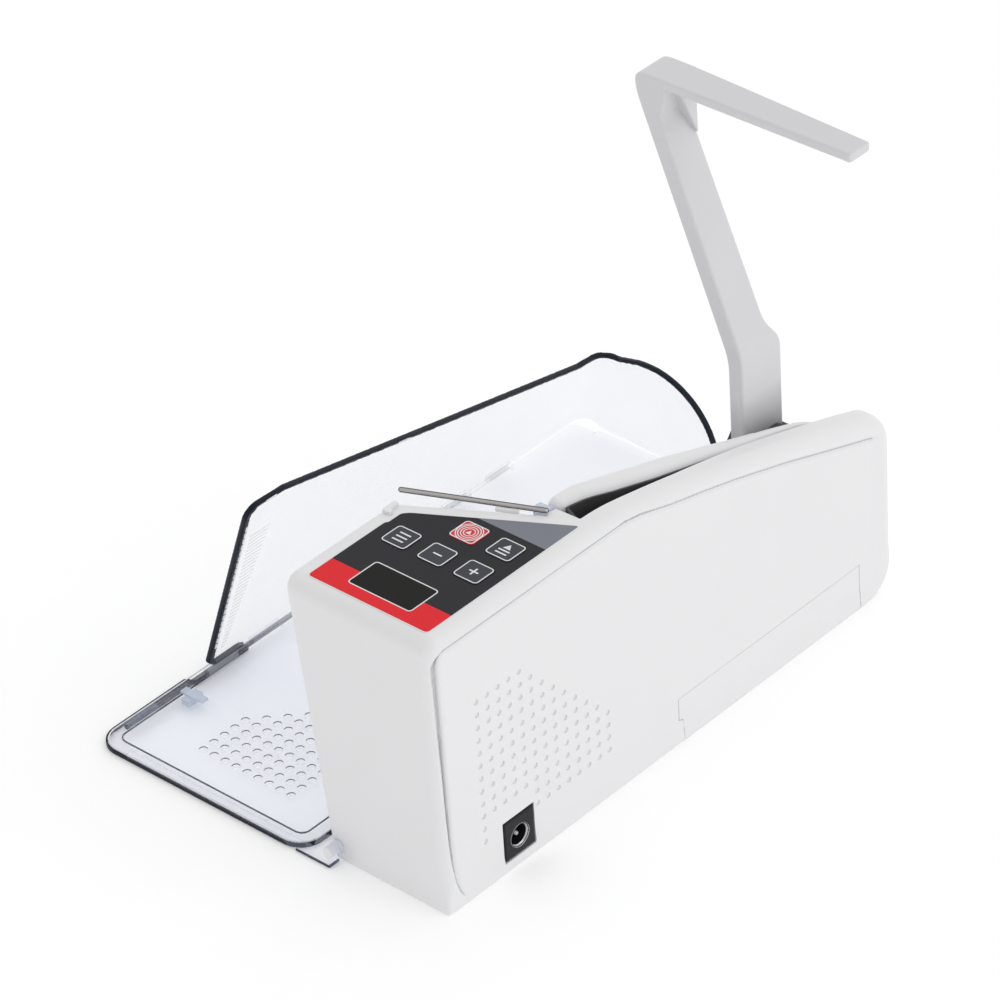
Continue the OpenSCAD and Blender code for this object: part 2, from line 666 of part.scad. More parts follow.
module pinch_shaft() color([0.75, 0.75, 0.77]) from_corner() idle_shaft(pinch_yz);
module pinch_rollers() color([0.25, 0.25, 0.25]) from_corner()
    roller_row(roller_xs, 10, pinch_yz, pinch_r, 1.5 + run_gap);
module retard_shaft() color([0.75, 0.75, 0.77]) from_corner() idle_shaft(retard_yz);
module retard_rollers() color([0.55, 0.3, 0.25]) from_corner()
    roller_row([93, 119, 145], 10, retard_yz, retard_r, 1.5 + run_gap);

// Side plate that carries the shafts.
module side_plate(x, outline) difference() {
    along_x(x, plate_t) polygon(outline);
    for (yz = [feed_yz, out_yz]) rod_x(x - 1, plate_t + 2, yz, shaft_r + 1.52);
    for (yz = [pinch_yz, retard_yz]) rod_x(x - 1, plate_t + 2, yz, 1.52);
}

// Lower edge of both side plates, which steps down round the outfeed shaft.
plate_foot = [[4, 18], [33, 18], [33.4, 10], [46.6, 10], [48.6, 34]];

module left_side_plate() color([0.6, 0.61, 0.63]) from_corner()
    side_plate(plate_x0, concat(plate_foot, [[30, 57.6], [4, 57.6]]));
module right_side_plate() color([0.6, 0.61, 0.63]) from_corner()
    side_plate(plate_x1, concat(plate_foot, [[44, 39], [34, 46.2], [29.6, 51], [4, 51]]));

module shaft_bushes() color([0.75, 0.6, 0.35]) from_corner()
    for (x = [plate_x0, plate_x1], yz = [feed_yz, out_yz])
        roller_row([x], plate_t, yz, shaft_r + 1.5, shaft_r + run_gap);

module note_sensor() color([0.1, 0.4, 0.2]) from_corner() {
    block(168, 182, 33, 36, 38.4, 40);
    block(173, 177, 33, 36, 35, 38.4);
    block(168, 182, 16, 28.8, 18.8, 20.2);
    block(173, 177, 24, 28, 20.2, 22);
}

module uv_sensor() color([0.25, 0.15, 0.5]) from_corner() {
    block(160, 190, 5, 6.6, 30, 42);
    for (x = [165, 175, 185]) rod_y(6.6, 5, [x, 36], 2.2);
}

// ---- power ---------------------------------------------------------------

cell_r = 7;
cell_l = 50;
cell_ys = [9.2, 24.2];
cell_z = 9.4;

module battery_holder() color([0.12, 0.12, 0.12]) from_corner() difference() {
    block(114.6, 206.8, 2.4, 32.4, 10.2, 14);
    for (y = cell_ys) rod_x(115.8, 89.8, [y, cell_z], cell_r + 0.15);
}

module aa_cells() color([0.25, 0.4, 0.3]) from_corner() for (y = cell_ys) {
    rod_x(117.4, 42, [y, cell_z], cell_r);
    rod_x(159.4, 1.2, [y, cell_z], 2.6);
    rod_x(161, 42, [y, cell_z], cell_r);
    rod_x(203, 1.2, [y, cell_z], 2.6);
}

module battery_contacts() color([0.8, 0.8, 0.78]) from_corner() {
    block(116, 116.5, cell_ys[0], cell_ys[1], 5, 8);
    for (y = cell_ys) {
        block(116, 116.5, y - 4.4, y + 4.4, 5, 13.4);
        block(205, 205.4, y - 4.4, y + 4.4, 5, 13.4);
    }
}

module case_screws() color([0.6, 0.6, 0.62]) from_corner() for (p = screw_places) difference() {
    union() {
        translate([p[0], p[1], 0.3]) cylinder(h = 0.98, r = 2.2);
        translate([p[0], p[1], 1]) cylinder(h = 8, r = 1.2);
    }
    // cross recess
    block(p[0] - 1.2, p[0] + 1.2, p[1] - 0.3, p[1] + 0.3, 0, 0.8);
    block(p[0] - 0.3, p[0] + 0.3, p[1] - 1.2, p[1] + 1.2, 0, 0.8);
}

module foot_pads() color([0.2, 0.2, 0.2]) from_corner()
    for (p = foot_places) translate([p[0], p[1], 0]) cylinder(h = 0.96, r = 4);

rear_shell();
front_shell();
bottom_cover();
battery_door();
control_overlay();
display_window();
display_module();
start_key();
batch_key();
add_key();
plus_key();
minus_key();
key_board();
main_board();
buzzer();
dc_jack();
hopper_liner();
guide_wire();
wire_holder();
lid_catch();
note_arm();
arm_bracket();
arm_pin();
tray();
tray_pins();
tray_clip();
cover();
cover_pin();
motor();
motor_bracket();
motor_pinion();
feed_gear();
feed_shaft();
feed_rollers();
outfeed_gear();
outfeed_shaft();
outfeed_rollers();
encoder_disc();
pinch_shaft();
pinch_rollers();
retard_shaft();
retard_rollers();
left_side_plate();
right_side_plate();
shaft_bushes();
note_sensor();
uv_sensor();
battery_holder();
aa_cells();
battery_contacts();
case_screws();
foot_pads();
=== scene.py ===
"""Looks of a portable banknote counter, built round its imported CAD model."""
import functools
import json
import math

import bmesh
import bpy
import numpy as np
from mathutils import Matrix, Vector


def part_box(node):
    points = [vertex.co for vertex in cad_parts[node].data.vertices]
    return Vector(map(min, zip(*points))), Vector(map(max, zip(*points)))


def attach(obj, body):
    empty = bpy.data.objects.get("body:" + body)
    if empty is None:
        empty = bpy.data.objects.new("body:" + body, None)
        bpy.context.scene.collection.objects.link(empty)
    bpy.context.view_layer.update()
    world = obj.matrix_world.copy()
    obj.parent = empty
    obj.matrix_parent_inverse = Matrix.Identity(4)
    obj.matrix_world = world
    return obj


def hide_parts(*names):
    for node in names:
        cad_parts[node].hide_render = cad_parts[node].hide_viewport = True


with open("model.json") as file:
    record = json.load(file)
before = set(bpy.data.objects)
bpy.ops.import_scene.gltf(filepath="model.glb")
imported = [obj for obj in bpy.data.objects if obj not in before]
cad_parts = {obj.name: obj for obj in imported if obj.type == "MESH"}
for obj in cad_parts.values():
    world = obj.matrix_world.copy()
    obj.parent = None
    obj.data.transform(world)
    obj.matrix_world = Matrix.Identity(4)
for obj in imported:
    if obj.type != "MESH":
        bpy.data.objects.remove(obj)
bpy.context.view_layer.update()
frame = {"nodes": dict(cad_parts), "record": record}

MM = 0.001
TILE = 6.0
NODES = frame["nodes"]
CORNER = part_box("rear_shell")[0]


def mm_box(node):
    """Lowest and highest corner of a node, in millimetres from the rear corner of the body."""
    lo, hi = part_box(node)
    return [(p - CORNER) / MM for p in (lo, hi)]


def place(x, y, z):
    """A point given in millimetres from the rear corner of the body, in the frame's metres."""
    return CORNER + Vector((x, y, z)) * MM


# Driving sizes of the body, in millimetres
BODY_L = mm_box("rear_shell")[1].x
DECK_Z = mm_box("rear_shell")[1].z
BODY_D = 52.0
END_H = 69.5
SLOPE_X = 90.0
BULGE = 2.4
WALL = 2.2
DIAG_X = 85.2
DIAG_RUN = 0.5727
BOX_LEAN = 0.109

# ---- node materials


MATERIALS = {}


def new_material(name):
    material = bpy.data.materials.new(name)
    material.use_nodes = True
    MATERIALS[name] = material
    return material.node_tree, material.node_tree.nodes["Principled BSDF"]


def drive(node, socket, value):
    """Feeds an input from another node's output, or sets it to a plain value."""
    if isinstance(value, bpy.types.NodeSocket):
        node.id_data.links.new(value, node.inputs[socket])
    else:
        node.inputs[socket].default_value = value


def add(tree, kind, **values):
    node = tree.nodes.new(kind)
    for key, value in values.items():
        if hasattr(node, key):
            setattr(node, key, value)
        else:
            drive(node, key.replace("_", " "), value)
    return node


def object_axis(tree, letter):
    coords = add(tree, "ShaderNodeTexCoord")
    axes = add(tree, "ShaderNodeSeparateXYZ")
    drive(axes, "Vector", coords.outputs["Object"])
    return axes.outputs[letter]


def noise(tree, scale, detail=3.0, stretch=(1, 1, 1)):
    """Noise in object space; stretch gives the relative frequency along each axis."""
    coords = add(tree, "ShaderNodeTexCoord")
    mapping = add(tree, "ShaderNodeMapping", Scale=stretch)
    drive(mapping, "Vector", coords.outputs["Object"])
    texture = add(tree, "ShaderNodeTexNoise", Scale=scale, Detail=detail, Roughness=0.55)
    drive(texture, "Vector", mapping.outputs["Vector"])
    return texture.outputs["Fac"]


def remap(tree, source, low, high, start=0.3, end=0.7):
    node = add(tree, "ShaderNodeMapRange")
    for socket, value in zip(("From Min", "From Max", "To Min", "To Max"), (start, end, low, high)):
        drive(node, socket, value)
    drive(node, "Value", source)
    return node.outputs["Result"]


def mix_colour(tree, factor, first, second):
    """Colour mix; the factor and either colour may be a socket or a plain value."""
    node = add(tree, "ShaderNodeMix", data_type="RGBA")
    for socket, value in ((0, factor), (6, first), (7, second)):
        drive(node, socket, (*value, 1) if isinstance(value, tuple) else value)
    return node.outputs[2]


def add_bump(tree, shader, height, strength, distance):
    bump = add(tree, "ShaderNodeBump", Strength=strength, Distance=distance)
    drive(bump, "Height", height)
    drive(shader, "Normal", bump.outputs["Normal"])


def moulded(name, colour, rough=0.45, variation=0.03, grain=2600, grain_depth=0.00001, gloss=0.5):
    """Injection-moulded plastic: a fine spark texture, faint flow mottling and uneven gloss."""
    tree, shader = new_material(name)
    mottling = noise(tree, 38, 4)
    darker = tuple(c * (1 - variation) for c in colour)
    drive(shader, "Base Color", mix_colour(tree, remap(tree, mottling, 0, 1), darker, colour))
    drive(shader, "Roughness", remap(tree, noise(tree, 90, 2), rough - 0.04, rough + 0.05))
    add_bump(tree, shader, noise(tree, grain, 2), 0.35, grain_depth)
    drive(shader, "Specular IOR Level", gloss)
    return tree, shader


def arm_plastic():
    """Grey moulding of the arm, with painted shade deepening towards its foot."""
    tree, shader = moulded("arm_plastic", (0.66, 0.66, 0.675), 0.4, 0.015)
    # painted shade: the colour darkens low on the arm, near its pivot
    painted_shade = remap(tree, object_axis(tree, "Z"), 0, 1, 0.072, 0.094)
    plain = shader.inputs["Base Color"].links[0].from_socket
    drive(shader, "Base Color", mix_colour(tree, painted_shade, (0.34, 0.34, 0.35), plain))


def metal(name, colour, rough=0.25, streak=(1, 40, 40), scale=60, depth=0.000006):
    """Drawn or turned metal with fine streaks across the stretched axes."""
    tree, shader = new_material(name)
    streaks = noise(tree, scale, 4, streak)
    drive(shader, "Base Color", mix_colour(tree, streaks, tuple(c * 0.8 for c in colour), colour))
    drive(shader, "Roughness", remap(tree, streaks, rough - 0.06, rough + 0.12))
    add_bump(tree, shader, streaks, 0.25, depth)
    drive(shader, "Metallic", 1)
    return tree, shader


def wire_chrome():
    """Polished wire with a painted reflection: light along its middle, dark towards its sides."""
    tree, shader = metal("wire_chrome", (0.6, 0.585, 0.57), 0.14, (1, 1, 1), 160, 0.000002)
    facing = add(tree, "ShaderNodeLayerWeight")
    drive(facing, "Blend", 0.5)
    # painted reflection: the parts of the wire turned away from the camera are coloured dark
    side = remap(tree, facing.outputs["Facing"], 0, 1, 0.12, 0.42)
    plain = shader.inputs["Base Color"].links[0].from_socket
    drive(shader, "Base Color", mix_colour(tree, side, plain, (0.035, 0.03, 0.028)))


def clear_sheet(name, colour, cover, rough=0.06, gloss=0.35):
    """Polished clear plastic: mostly see-through, with a faint body tint and a glossy surface."""
    tree, shader = new_material(name)
    haze = noise(tree, 30, 3)
    drive(shader, "Alpha", remap(tree, haze, cover * 0.92, cover * 1.08))
    drive(shader, "Base Color", mix_colour(tree, haze, tuple(c * 0.985 for c in colour), colour))
    drive(shader, "Roughness", remap(tree, noise(tree, 120, 2), rough, rough + 0.05))
    drive(shader, "IOR", 1.49)
    drive(shader, "Specular IOR Level", gloss)
    return tree, shader


def faded_sheet(name, colour, cover, far):
    """Clear plastic that fades towards the low end, where only the cover is seen."""
    tree, shader = clear_sheet(name, colour, cover)
    fade = remap(tree, object_axis(tree, "X"), 1.0, far, place(60, 0, 0).x, place(130, 0, 0).x)
    product = add(tree, "ShaderNodeMath", operation="MULTIPLY")
    drive(product, 0, shader.inputs["Alpha"].links[0].from_socket)
    drive(product, 1, fade)
    drive(shader, "Alpha", product.outputs["Value"])


def panel_film():
    """Printed film: charcoal field, red band at the outer end, grey corner at the inner end."""
    tree, shader = new_material("panel_film")
    along = object_axis(tree, "X")

    def beyond(x):
        step = add(tree, "ShaderNodeMath", operation="GREATER_THAN")
        drive(step, 0, along)
        drive(step, 1, place(x, 0, 0).x)
        return step.outputs["Value"]

    weave = noise(tree, 700, 3)
    field = mix_colour(tree, weave, (0.015, 0.015, 0.019), (0.020, 0.020, 0.025))
    field = mix_colour(tree, beyond(60.3), field, (0.205, 0.215, 0.25))
    ink = mix_colour(tree, beyond(16.5), (0.76, 0.014, 0.022), field)
    drive(shader, "Base Color", ink)
    drive(shader, "Roughness", remap(tree, weave, 0.36, 0.46))
    drive(shader, "Specular IOR Level", 0.16)
    add_bump(tree, shader, noise(tree, 1800, 2), 0.2, 0.000006)


def circuit_board():
    """Solder mask over faint copper tracks."""
    tree, shader = new_material("circuit_board")
    coords = add(tree, "ShaderNodeTexCoord")
    tracks = add(tree, "ShaderNodeTexBrick", Scale=260.0, Mortar_Size=0.06)
    drive(tracks, "Vector", coords.outputs["Object"])
    for socket, colour in (("Color1", (0.012, 0.13, 0.05)), ("Color2", (0.016, 0.16, 0.06)),
                           ("Mortar", (0.05, 0.26, 0.1))):
        drive(tracks, socket, (*colour, 1))
    drive(shader, "Base Color", tracks.outputs["Color"])
    drive(shader, "Roughness", remap(tree, noise(tree, 300), 0.3, 0.45))


def display_lens():
    """Smoked window: nearly black, a little lighter towards one side, very glossy."""
    tree, shader = new_material("display_lens")
    haze = noise(tree, 25, 2)
    drive(shader, "Base Color", mix_colour(tree, haze, (0.006, 0.005, 0.005), (0.011, 0.01, 0.009)))
    drive(shader, "Specular IOR Level", 0.1)
    drive(shader, "Roughness", remap(tree, haze, 0.16, 0.26))


moulded("white_plastic", (0.80, 0.80, 0.81), 0.42, 0.012)
moulded("inner_plastic", (0.60, 0.60, 0.61), 0.55, 0.03)
panel_film()
display_lens()
moulded("black_plastic", (0.018, 0.018, 0.02), 0.5, 0.2, 1500)
moulded("jack_plastic", (0.016, 0.016, 0.018), 0.42, 0.15, 1800, gloss=0.18)
moulded("red_key", (0.66, 0.022, 0.032), 0.34, 0.06, 1500, gloss=0.3)
moulded("dark_key", (0.026, 0.029, 0.042), 0.36, 0.1, 1500, gloss=0.35)
moulded("print_white", (0.78, 0.79, 0.80), 0.5, 0.04, 3000)
circuit_board()
# painted shade: grey for the ribbon that darkens the rear face's groove
moulded("groove_painted_shade", (0.53, 0.53, 0.54), 0.5, 0.02)
moulded("dark_liner", (0.06, 0.06, 0.063), 0.62, 0.15, 1200)
wire_chrome()
clear_sheet("frosted_plastic", (0.66, 0.73, 0.86), 0.62, 0.2)
arm_plastic()
metal("steel", (0.52, 0.52, 0.54), 0.26)
faded_sheet("clear_plastic", (0.76, 0.83, 1.0), 0.105, 0.65)
faded_sheet("hinge_line", (0.10, 0.11, 0.14), 0.6, 0.04)
clear_sheet("clear_cover", (0.88, 0.90, 1.0), 0.15, 0.2, 0.15)
clear_sheet("clear_edge", (0.006, 0.010, 0.020), 0.97, 0.3, 0.18)
# painted highlights: near-white bars standing in for glints on the clear edges
clear_sheet("clear_highlight", (0.95, 0.96, 0.98), 0.93, 0.08)
clear_sheet("clear_line", (0.10, 0.11, 0.14), 0.75, 0.1)
clear_sheet("clear_rib", (0.40, 0.42, 0.48), 0.08, 0.1)
metal("motor_can", (0.58, 0.59, 0.61), 0.3, (30, 1, 1), 80)
metal("brass", (0.72, 0.52, 0.22), 0.28, (40, 1, 1), 120)
moulded("nylon", (0.72, 0.70, 0.64), 0.5, 0.05)
moulded("rubber", (0.025, 0.025, 0.026), 0.75, 0.25, 900, 0.00003)
moulded("red_rubber", (0.28, 0.07, 0.05), 0.72, 0.2, 900, 0.00003)
moulded("cell_wrap", (0.06, 0.13, 0.09), 0.3, 0.1, 400)

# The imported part's slot for each look that is only used here
SLOT_OF = {"clear_cover": "clear_plastic", "clear_edge": "clear_plastic", "clear_highlight": "clear_plastic",
           "clear_line": "clear_plastic", "clear_rib": "clear_plastic", "groove_painted_shade": "white_plastic",
           "jack_plastic": "black_plastic"}

# ---- mesh helpers


def link(name, mesh, material, slot=None):
    obj = bpy.data.objects.new(name, mesh)
    bpy.context.scene.collection.objects.link(obj)
    if not mesh.materials:
        mesh.materials.append(MATERIALS[material])
    slot or SLOT_OF.get(material, material)
    return obj


def mount(obj, body, replaces):
    """Sets a piece on its body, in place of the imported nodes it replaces."""
    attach(obj, body)
    if replaces:
        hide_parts(*replaces)
    return obj


def turn_outwards(mesh, merge=0.0):
    """Turns a mesh's faces outwards, after merging points that lie closer than a distance."""
    fix = bmesh.new()
    fix.from_mesh(mesh)
    if merge:
        bmesh.ops.remove_doubles(fix, verts=fix.verts, dist=merge)
    bmesh.ops.recalc_face_normals(fix, faces=fix.faces)
    fix.to_mesh(mesh)
    fix.free()


def solid_mesh(name, points, faces):
    """Closed mesh from points in millimetres, with its faces turned outwards."""
    mesh = bpy.data.meshes.new(name)
    mesh.from_pydata([place(*p) for p in points], [], faces)
    turn_outwards(mesh)
    return mesh


def prism(outline, z0, z1):
    """Points and faces of an upright prism on an outline of (x, y) points."""
    n = len(outline)
    points = [(x, y, z0) for x, y in outline] + [(x, y, z1) for x, y in outline]
    faces = [tuple(range(n - 1, -1, -1)), tuple(range(n, 2 * n))]
    faces += [(i, (i + 1) % n, n + (i + 1) % n, n + i) for i in range(n)]
    return points, faces


def frame_ring(outer, inner, z0, z1):
    """Points and faces of a flat ring between two outlines with the same number of points."""
    n = len(outer)
    points = [(x, y, z) for z in (z0, z1) for loop in (outer, inner) for x, y in loop]
    faces = []
    for i in range(n):
        j = (i + 1) % n
        faces += [(i, j, n + j, n + i), (2 * n + i, 3 * n + i, 3 * n + j, 2 * n + j),
                  (i, 2 * n + i, 2 * n + j, j), (n + i, n + j, 3 * n + j, 3 * n + i)]
    return points, faces


def arc(cx, cy, r, a0, a1, n=8):
    turn = np.radians(np.linspace(a0, a1, n + 1))
    return [(cx + r * math.cos(t), cy + r * math.sin(t)) for t in turn]


def rounded_rect(x0, x1, y0, y1, r, n=5):
    return (arc(x1 - r, y0 + r, r, -90, 0, n) + arc(x1 - r, y1 - r, r, 0, 90, n)
            + arc(x0 + r, y1 - r, r, 90, 180, n) + arc(x0 + r, y0 + r, r, 180, 270, n))


def soften(obj, width, segments=3, angle=35):
    """Rounds the edges of a mesh and keeps its flat faces flat in shading."""
    bevel = obj.modifiers.new("edges", "BEVEL")
    bevel.width = width * MM
    bevel.segments = segments
    bevel.limit_method = "ANGLE"
    bevel.angle_limit = math.radians(angle)
    obj.data.shade_smooth()
    weighted = obj.modifiers.new("normals", "WEIGHTED_NORMAL")
    weighted.weight = 80
    return obj


def piece(name, parts, material, body="chassis", slot=None, bevel=0.0, segments=3, replaces=()):
    """One visible piece from (points, faces) pairs, riding on a body."""
    points, faces = [], []
    for part_points, part_faces in parts:
        base = len(points)
        points += part_points
        faces += [tuple(base + i for i in face) for face in part_faces]
    obj = link(name, solid_mesh(name, points, faces), material, slot)
    if bevel:
        soften(obj, bevel, segments)
    return mount(obj, body, replaces)


# ---- smooth solids from distance functions


def rmax(a, b, r):
    """Intersection of two distance fields with an edge of radius r."""
    return np.minimum(np.maximum(a, b), -r) + np.hypot(np.maximum(a + r, 0), np.maximum(b + r, 0))


def rmin(a, b, r):
    """Union of two distance fields with a fillet of radius r."""
    return -rmax(-a, -b, r)


def both(*fields):
    """Sharp intersection of distance fields."""
    return functools.reduce(np.maximum, fields)


def either(*fields):
    """Sharp union of distance fields."""
    return functools.reduce(np.minimum, fields)


def off_axis(u, v, centre):
    return np.hypot(u - centre[0], v - centre[1])


def smooth(t):
    t = np.clip(t, 0, 1)
    return t * t * (3 - 2 * t)


def polygon_distance(px, py, outline):
    """Signed distance from points to a closed outline, negative inside."""
    best = np.full(px.shape, 1e9)
    inside = np.zeros(px.shape, bool)
    for (ax, ay), (bx, by) in zip(outline, outline[1:] + outline[:1]):
        ex, ey, wx, wy = bx - ax, by - ay, px - ax, py - ay
        t = np.clip((wx * ex + wy * ey) / (ex * ex + ey * ey), 0, 1)
        best = np.minimum(best, (wx - t * ex) ** 2 + (wy - t * ey) ** 2)
        crosses = (ay > py) != (by > py)
        inside ^= crosses & (wx * (by - ay) - wy * ex < 0 if by > ay else wx * (by - ay) - wy * ex > 0)
    return np.where(inside, -1.0, 1.0) * np.sqrt(best)


def box_distance(x, y, z, x0, x1, y0, y1, z0, z1):
    dx = both(x0 - x, x - x1)
    dy = both(y0 - y, y - y1)
    dz = both(z0 - z, z - z1)
    return both(dx, dy, dz)


def axis(lo, hi, step, fine=()):
    """Grid positions from lo to hi, with a closer step inside each (start, end, step) stretch."""
    cuts = sorted({lo, hi, *[v for a, b, _ in fine for v in (a, b) if lo < v < hi]})
    values = []
    for a, b in zip(cuts, cuts[1:]):
        near = [s for fa, fb, s in fine if fa <= a and b <= fb]
        count = max(1, round((b - a) / (near[0] if near else step)))
        values += list(np.linspace(a, b, count, endpoint=False))
    return np.array(values + [hi])


def sample(field, xs, ys, zs, block=8):
    """The field on the whole grid; away from the surface only its sign is right."""
    shape = (len(xs), len(ys), len(zs))
    values = np.empty(shape, np.float32)
    starts = [range(0, n, block) for n in shape]
    grid = np.array(np.meshgrid(*starts, indexing="ij")).reshape(3, -1).T
    ends = np.minimum(grid + block, np.array(shape)) - 1
    lows = np.stack([xs[grid[:, 0]], ys[grid[:, 1]], zs[grid[:, 2]]], 1)
    highs = np.stack([xs[ends[:, 0]], ys[ends[:, 1]], zs[ends[:, 2]]], 1)
    middle = field(*((lows + highs) / 2).T)
    reach = np.linalg.norm(highs - lows, axis=1) / 2 * 1.25 + 1.2
    near = np.abs(middle) < reach
    for (i, j, k), value in zip(grid[~near], middle[~near]):
        values[i:i + block, j:j + block, k:k + block] = value
    close = grid[near]
    for chunk in range(0, len(close), 900):
        cells = close[chunk:chunk + 900]
        spread = []
        for a, shown in enumerate(((-1, block, 1, 1), (-1, 1, block, 1), (-1, 1, 1, block))):
            span = np.minimum(cells[:, a, None] + np.arange(block), shape[a] - 1).reshape(shown)
            spread.append(np.broadcast_to(span, (len(cells), block, block, block)).ravel())
        gi, gj, gk = spread
        values[gi, gj, gk] = field(xs[gi], ys[gj], zs[gk])
    return values


def gradient(field, points, eps=0.02):
    x, y, z = points.T
    return np.stack([field(x + eps, y, z) - field(x - eps, y, z),
                     field(x, y + eps, z) - field(x, y - eps, z),
                     field(x, y, z + eps) - field(x, y, z - eps)], 1) / (2 * eps)


def surface(field, xs, ys, zs):
    """Vertices and quads of the field's zero surface, one vertex in each crossed grid cell."""
    values = sample(field, xs, ys, zs)
    inside = values < 0
    counts = np.zeros([n - 1 for n in values.shape], np.uint8)
    for corner in np.ndindex(2, 2, 2):
        counts += inside[tuple(slice(d, n - 1 + d) for d, n in zip(corner, values.shape))]
    cells = np.argwhere((counts > 0) & (counts < 8))
    number = np.full(counts.shape, -1, np.int32)
    number[tuple(cells.T)] = np.arange(len(cells))
    total = np.zeros((len(cells), 3))
    hits = np.zeros(len(cells))
    axes = (xs, ys, zs)
    for a in range(3):
        b, c = (a + 1) % 3, (a + 2) % 3
        for db in (0, 1):
            for dc in (0, 1):
                lower = cells.copy()
                lower[:, b] += db
                lower[:, c] += dc
                upper = lower.copy()
                upper[:, a] += 1
                v0, v1 = values[tuple(lower.T)], values[tuple(upper.T)]
                crossed = (v0 < 0) != (v1 < 0)
                t = np.where(crossed, v0 / np.where(crossed, v0 - v1, 1), 0)
                spot = np.stack([axes[n][lower[:, n]] for n in range(3)], 1)
                spot[:, a] += t * (axes[a][upper[:, a]] - axes[a][lower[:, a]])
                total += spot * crossed[:, None]
                hits += crossed
    points = total / hits[:, None]
    quads = []
    for a in range(3):
        b, c = (a + 1) % 3, (a + 2) % 3
        first = [slice(None)] * 3
        second = [slice(None)] * 3
        first[a], second[a] = slice(None, -1), slice(1, None)
        flips = np.argwhere(inside[tuple(first)] != inside[tuple(second)])
        keep = (flips[:, b] > 0) & (flips[:, c] > 0)
        keep &= (flips[:, b] < values.shape[b] - 1) & (flips[:, c] < values.shape[c] - 1)
        flips = flips[keep]
        ring = []
        for db, dc in ((-1, -1), (0, -1), (0, 0), (-1, 0)):
            cell = flips.copy()
            cell[:, b] += db
            cell[:, c] += dc
            ring.append(number[tuple(cell.T)])
        ring = np.stack(ring, 1)
        solid_first = inside[tuple(flips.T)]
        ring[~solid_first] = ring[~solid_first][:, ::-1]
        quads.append(ring)
    return points, np.concatenate(quads)


def settle(field, points, limit, rounds=3):
    """Moves points onto the zero surface, each by at most the limit."""
    start = points.copy()
    for _ in range(rounds):
        g = gradient(field, points)
        step = field(*points.T) / np.maximum((g * g).sum(1), 0.25)
        points = points - g * step[:, None]
        drift = points - start
        size = np.linalg.norm(drift, axis=1, keepdims=True)
        points = start + drift * np.minimum(1, limit / np.maximum(size, 1e-9))
    return points


def read(items, key, width=1, kind=np.int32):
    values = np.empty(len(items) * width, kind)
    items.foreach_get(key, values)
    return values


def unit(vectors):
    return vectors / np.maximum(np.linalg.norm(vectors, axis=1, keepdims=True), 1e-9)


def true_normals(field, mesh, inset):
    """Gives each face corner the field's own normal, taken slightly inside its face."""
    count = len(mesh.loops)
    corner = read(mesh.loops, "vertex_index")
    co = (read(mesh.vertices, "co", 3, float).reshape(-1, 3) - np.array(CORNER)) / MM
    starts = read(mesh.polygons, "loop_start")
    sizes = read(mesh.polygons, "loop_total")
    order = np.argsort(starts)
    face = np.repeat(order, sizes[order])
    nxt = np.arange(count) + 1
    last = starts + sizes - 1
    nxt[last] = starts
    prv = np.arange(count) - 1
    prv[starts] = last
    here = co[corner]
    ahead = unit(co[corner[nxt]] - here)
    behind = unit(co[corner[prv]] - here)
    inward = ahead + behind
    flat = read(mesh.polygons, "normal", 3, float).reshape(-1, 3)[face]
    reflex = (np.cross(ahead, behind) * flat).sum(1) < 0
    inward[reflex] *= -1
    straight = np.linalg.norm(inward, axis=1) < 0.05
    inward[straight] = np.cross(flat[straight], ahead[straight])
    g = gradient(field, here + unit(inward) * inset)
    length = np.linalg.norm(g, axis=1, keepdims=True)
    g = np.where(length > 0.3, unit(g), flat)
    g = np.where((g * flat).sum(1, keepdims=True) > 0.5, g, flat)
    mesh.shade_smooth()
    mesh.normals_split_custom_set(g.astype(np.float32))


def sculpted(name, field, xs, ys, zs, material, body="chassis", slot=None, flat_angle=0.35, replaces=()):
    """A visible piece whose surface is the zero surface of a distance field."""
    points, quads = surface(field, xs, ys, zs)
    cell = max(np.diff(xs).max(), np.diff(ys).max(), np.diff(zs).max())
    points = settle(field, points, cell * 0.8)
    mesh = bpy.data.meshes.new(name)
    mesh.from_pydata(np.array(CORNER) + points * MM, [], quads)
    mesh.update()
    obj = link(name, mesh, material, slot)
    # tiles of alternating material index keep the merged faces small and simple
    centres = points[quads].mean(1)
    tile = np.floor(centres / TILE).astype(int) & 1
    for _ in range(7):
        mesh.materials.append(MATERIALS[material])
    mesh.polygons.foreach_set("material_index", (tile * (1, 2, 4)).sum(1).astype(np.int32))
    dissolve = obj.modifiers.new("flats", "DECIMATE")
    dissolve.decimate_type = "DISSOLVE"
    dissolve.angle_limit = math.radians(flat_angle)
    dissolve.delimit = {"MATERIAL"}
    graph = bpy.context.evaluated_depsgraph_get()
    light = bpy.data.meshes.new_from_object(obj.evaluated_get(graph))
    obj.modifiers.clear()
    obj.data = light
    bpy.data.meshes.remove(mesh)
    light.polygons.foreach_set("material_index", np.zeros(len(light.polygons), np.int32))
    while len(light.materials) > 1:
        light.materials.pop()
    light.name = name
    true_normals(field, light, 0.12)
    return mount(obj, body, replaces)


# ---- body shape

# Key centres on the deck
KEYS = {"batch": (37.7, 46.0), "minus": (37.7, 30.8), "plus": (37.7, 15.6),
        "start": (52.6, 30.8), "add": (52.6, 15.6)}

COARSE = 0.55
FINE = 0.28


def slope_z(x):
    """Height of the sloping top, carried on past both of its ends."""
    t = (x - SLOPE_X) / (BODY_L - SLOPE_X)
    return DECK_Z - (DECK_Z - END_H) * t + BULGE * 4 * t * (1 - t)


def top_distance(x, z):
    """Distance below the deck and the slope, with a short blend where they meet."""
    rise = slope_z(x) - DECK_Z
    height = DECK_Z + either(rise, 0) - both(1.5 - np.abs(rise), 0) ** 2 / 6
    return (z - height) * np.where(rise < 0, 0.97, 1.0)


def outline_distance(x, z, inset=0.0):
    """The body seen from the rear: sloping top, rounded low end, small foot radius."""
    d = rmax(top_distance(x, z), -x, 6 - inset)
    d = rmax(d, x - BODY_L, 10 - inset)
    return rmax(d, -z, np.where(x > BODY_L / 2, 15.9 - inset, 1.2))


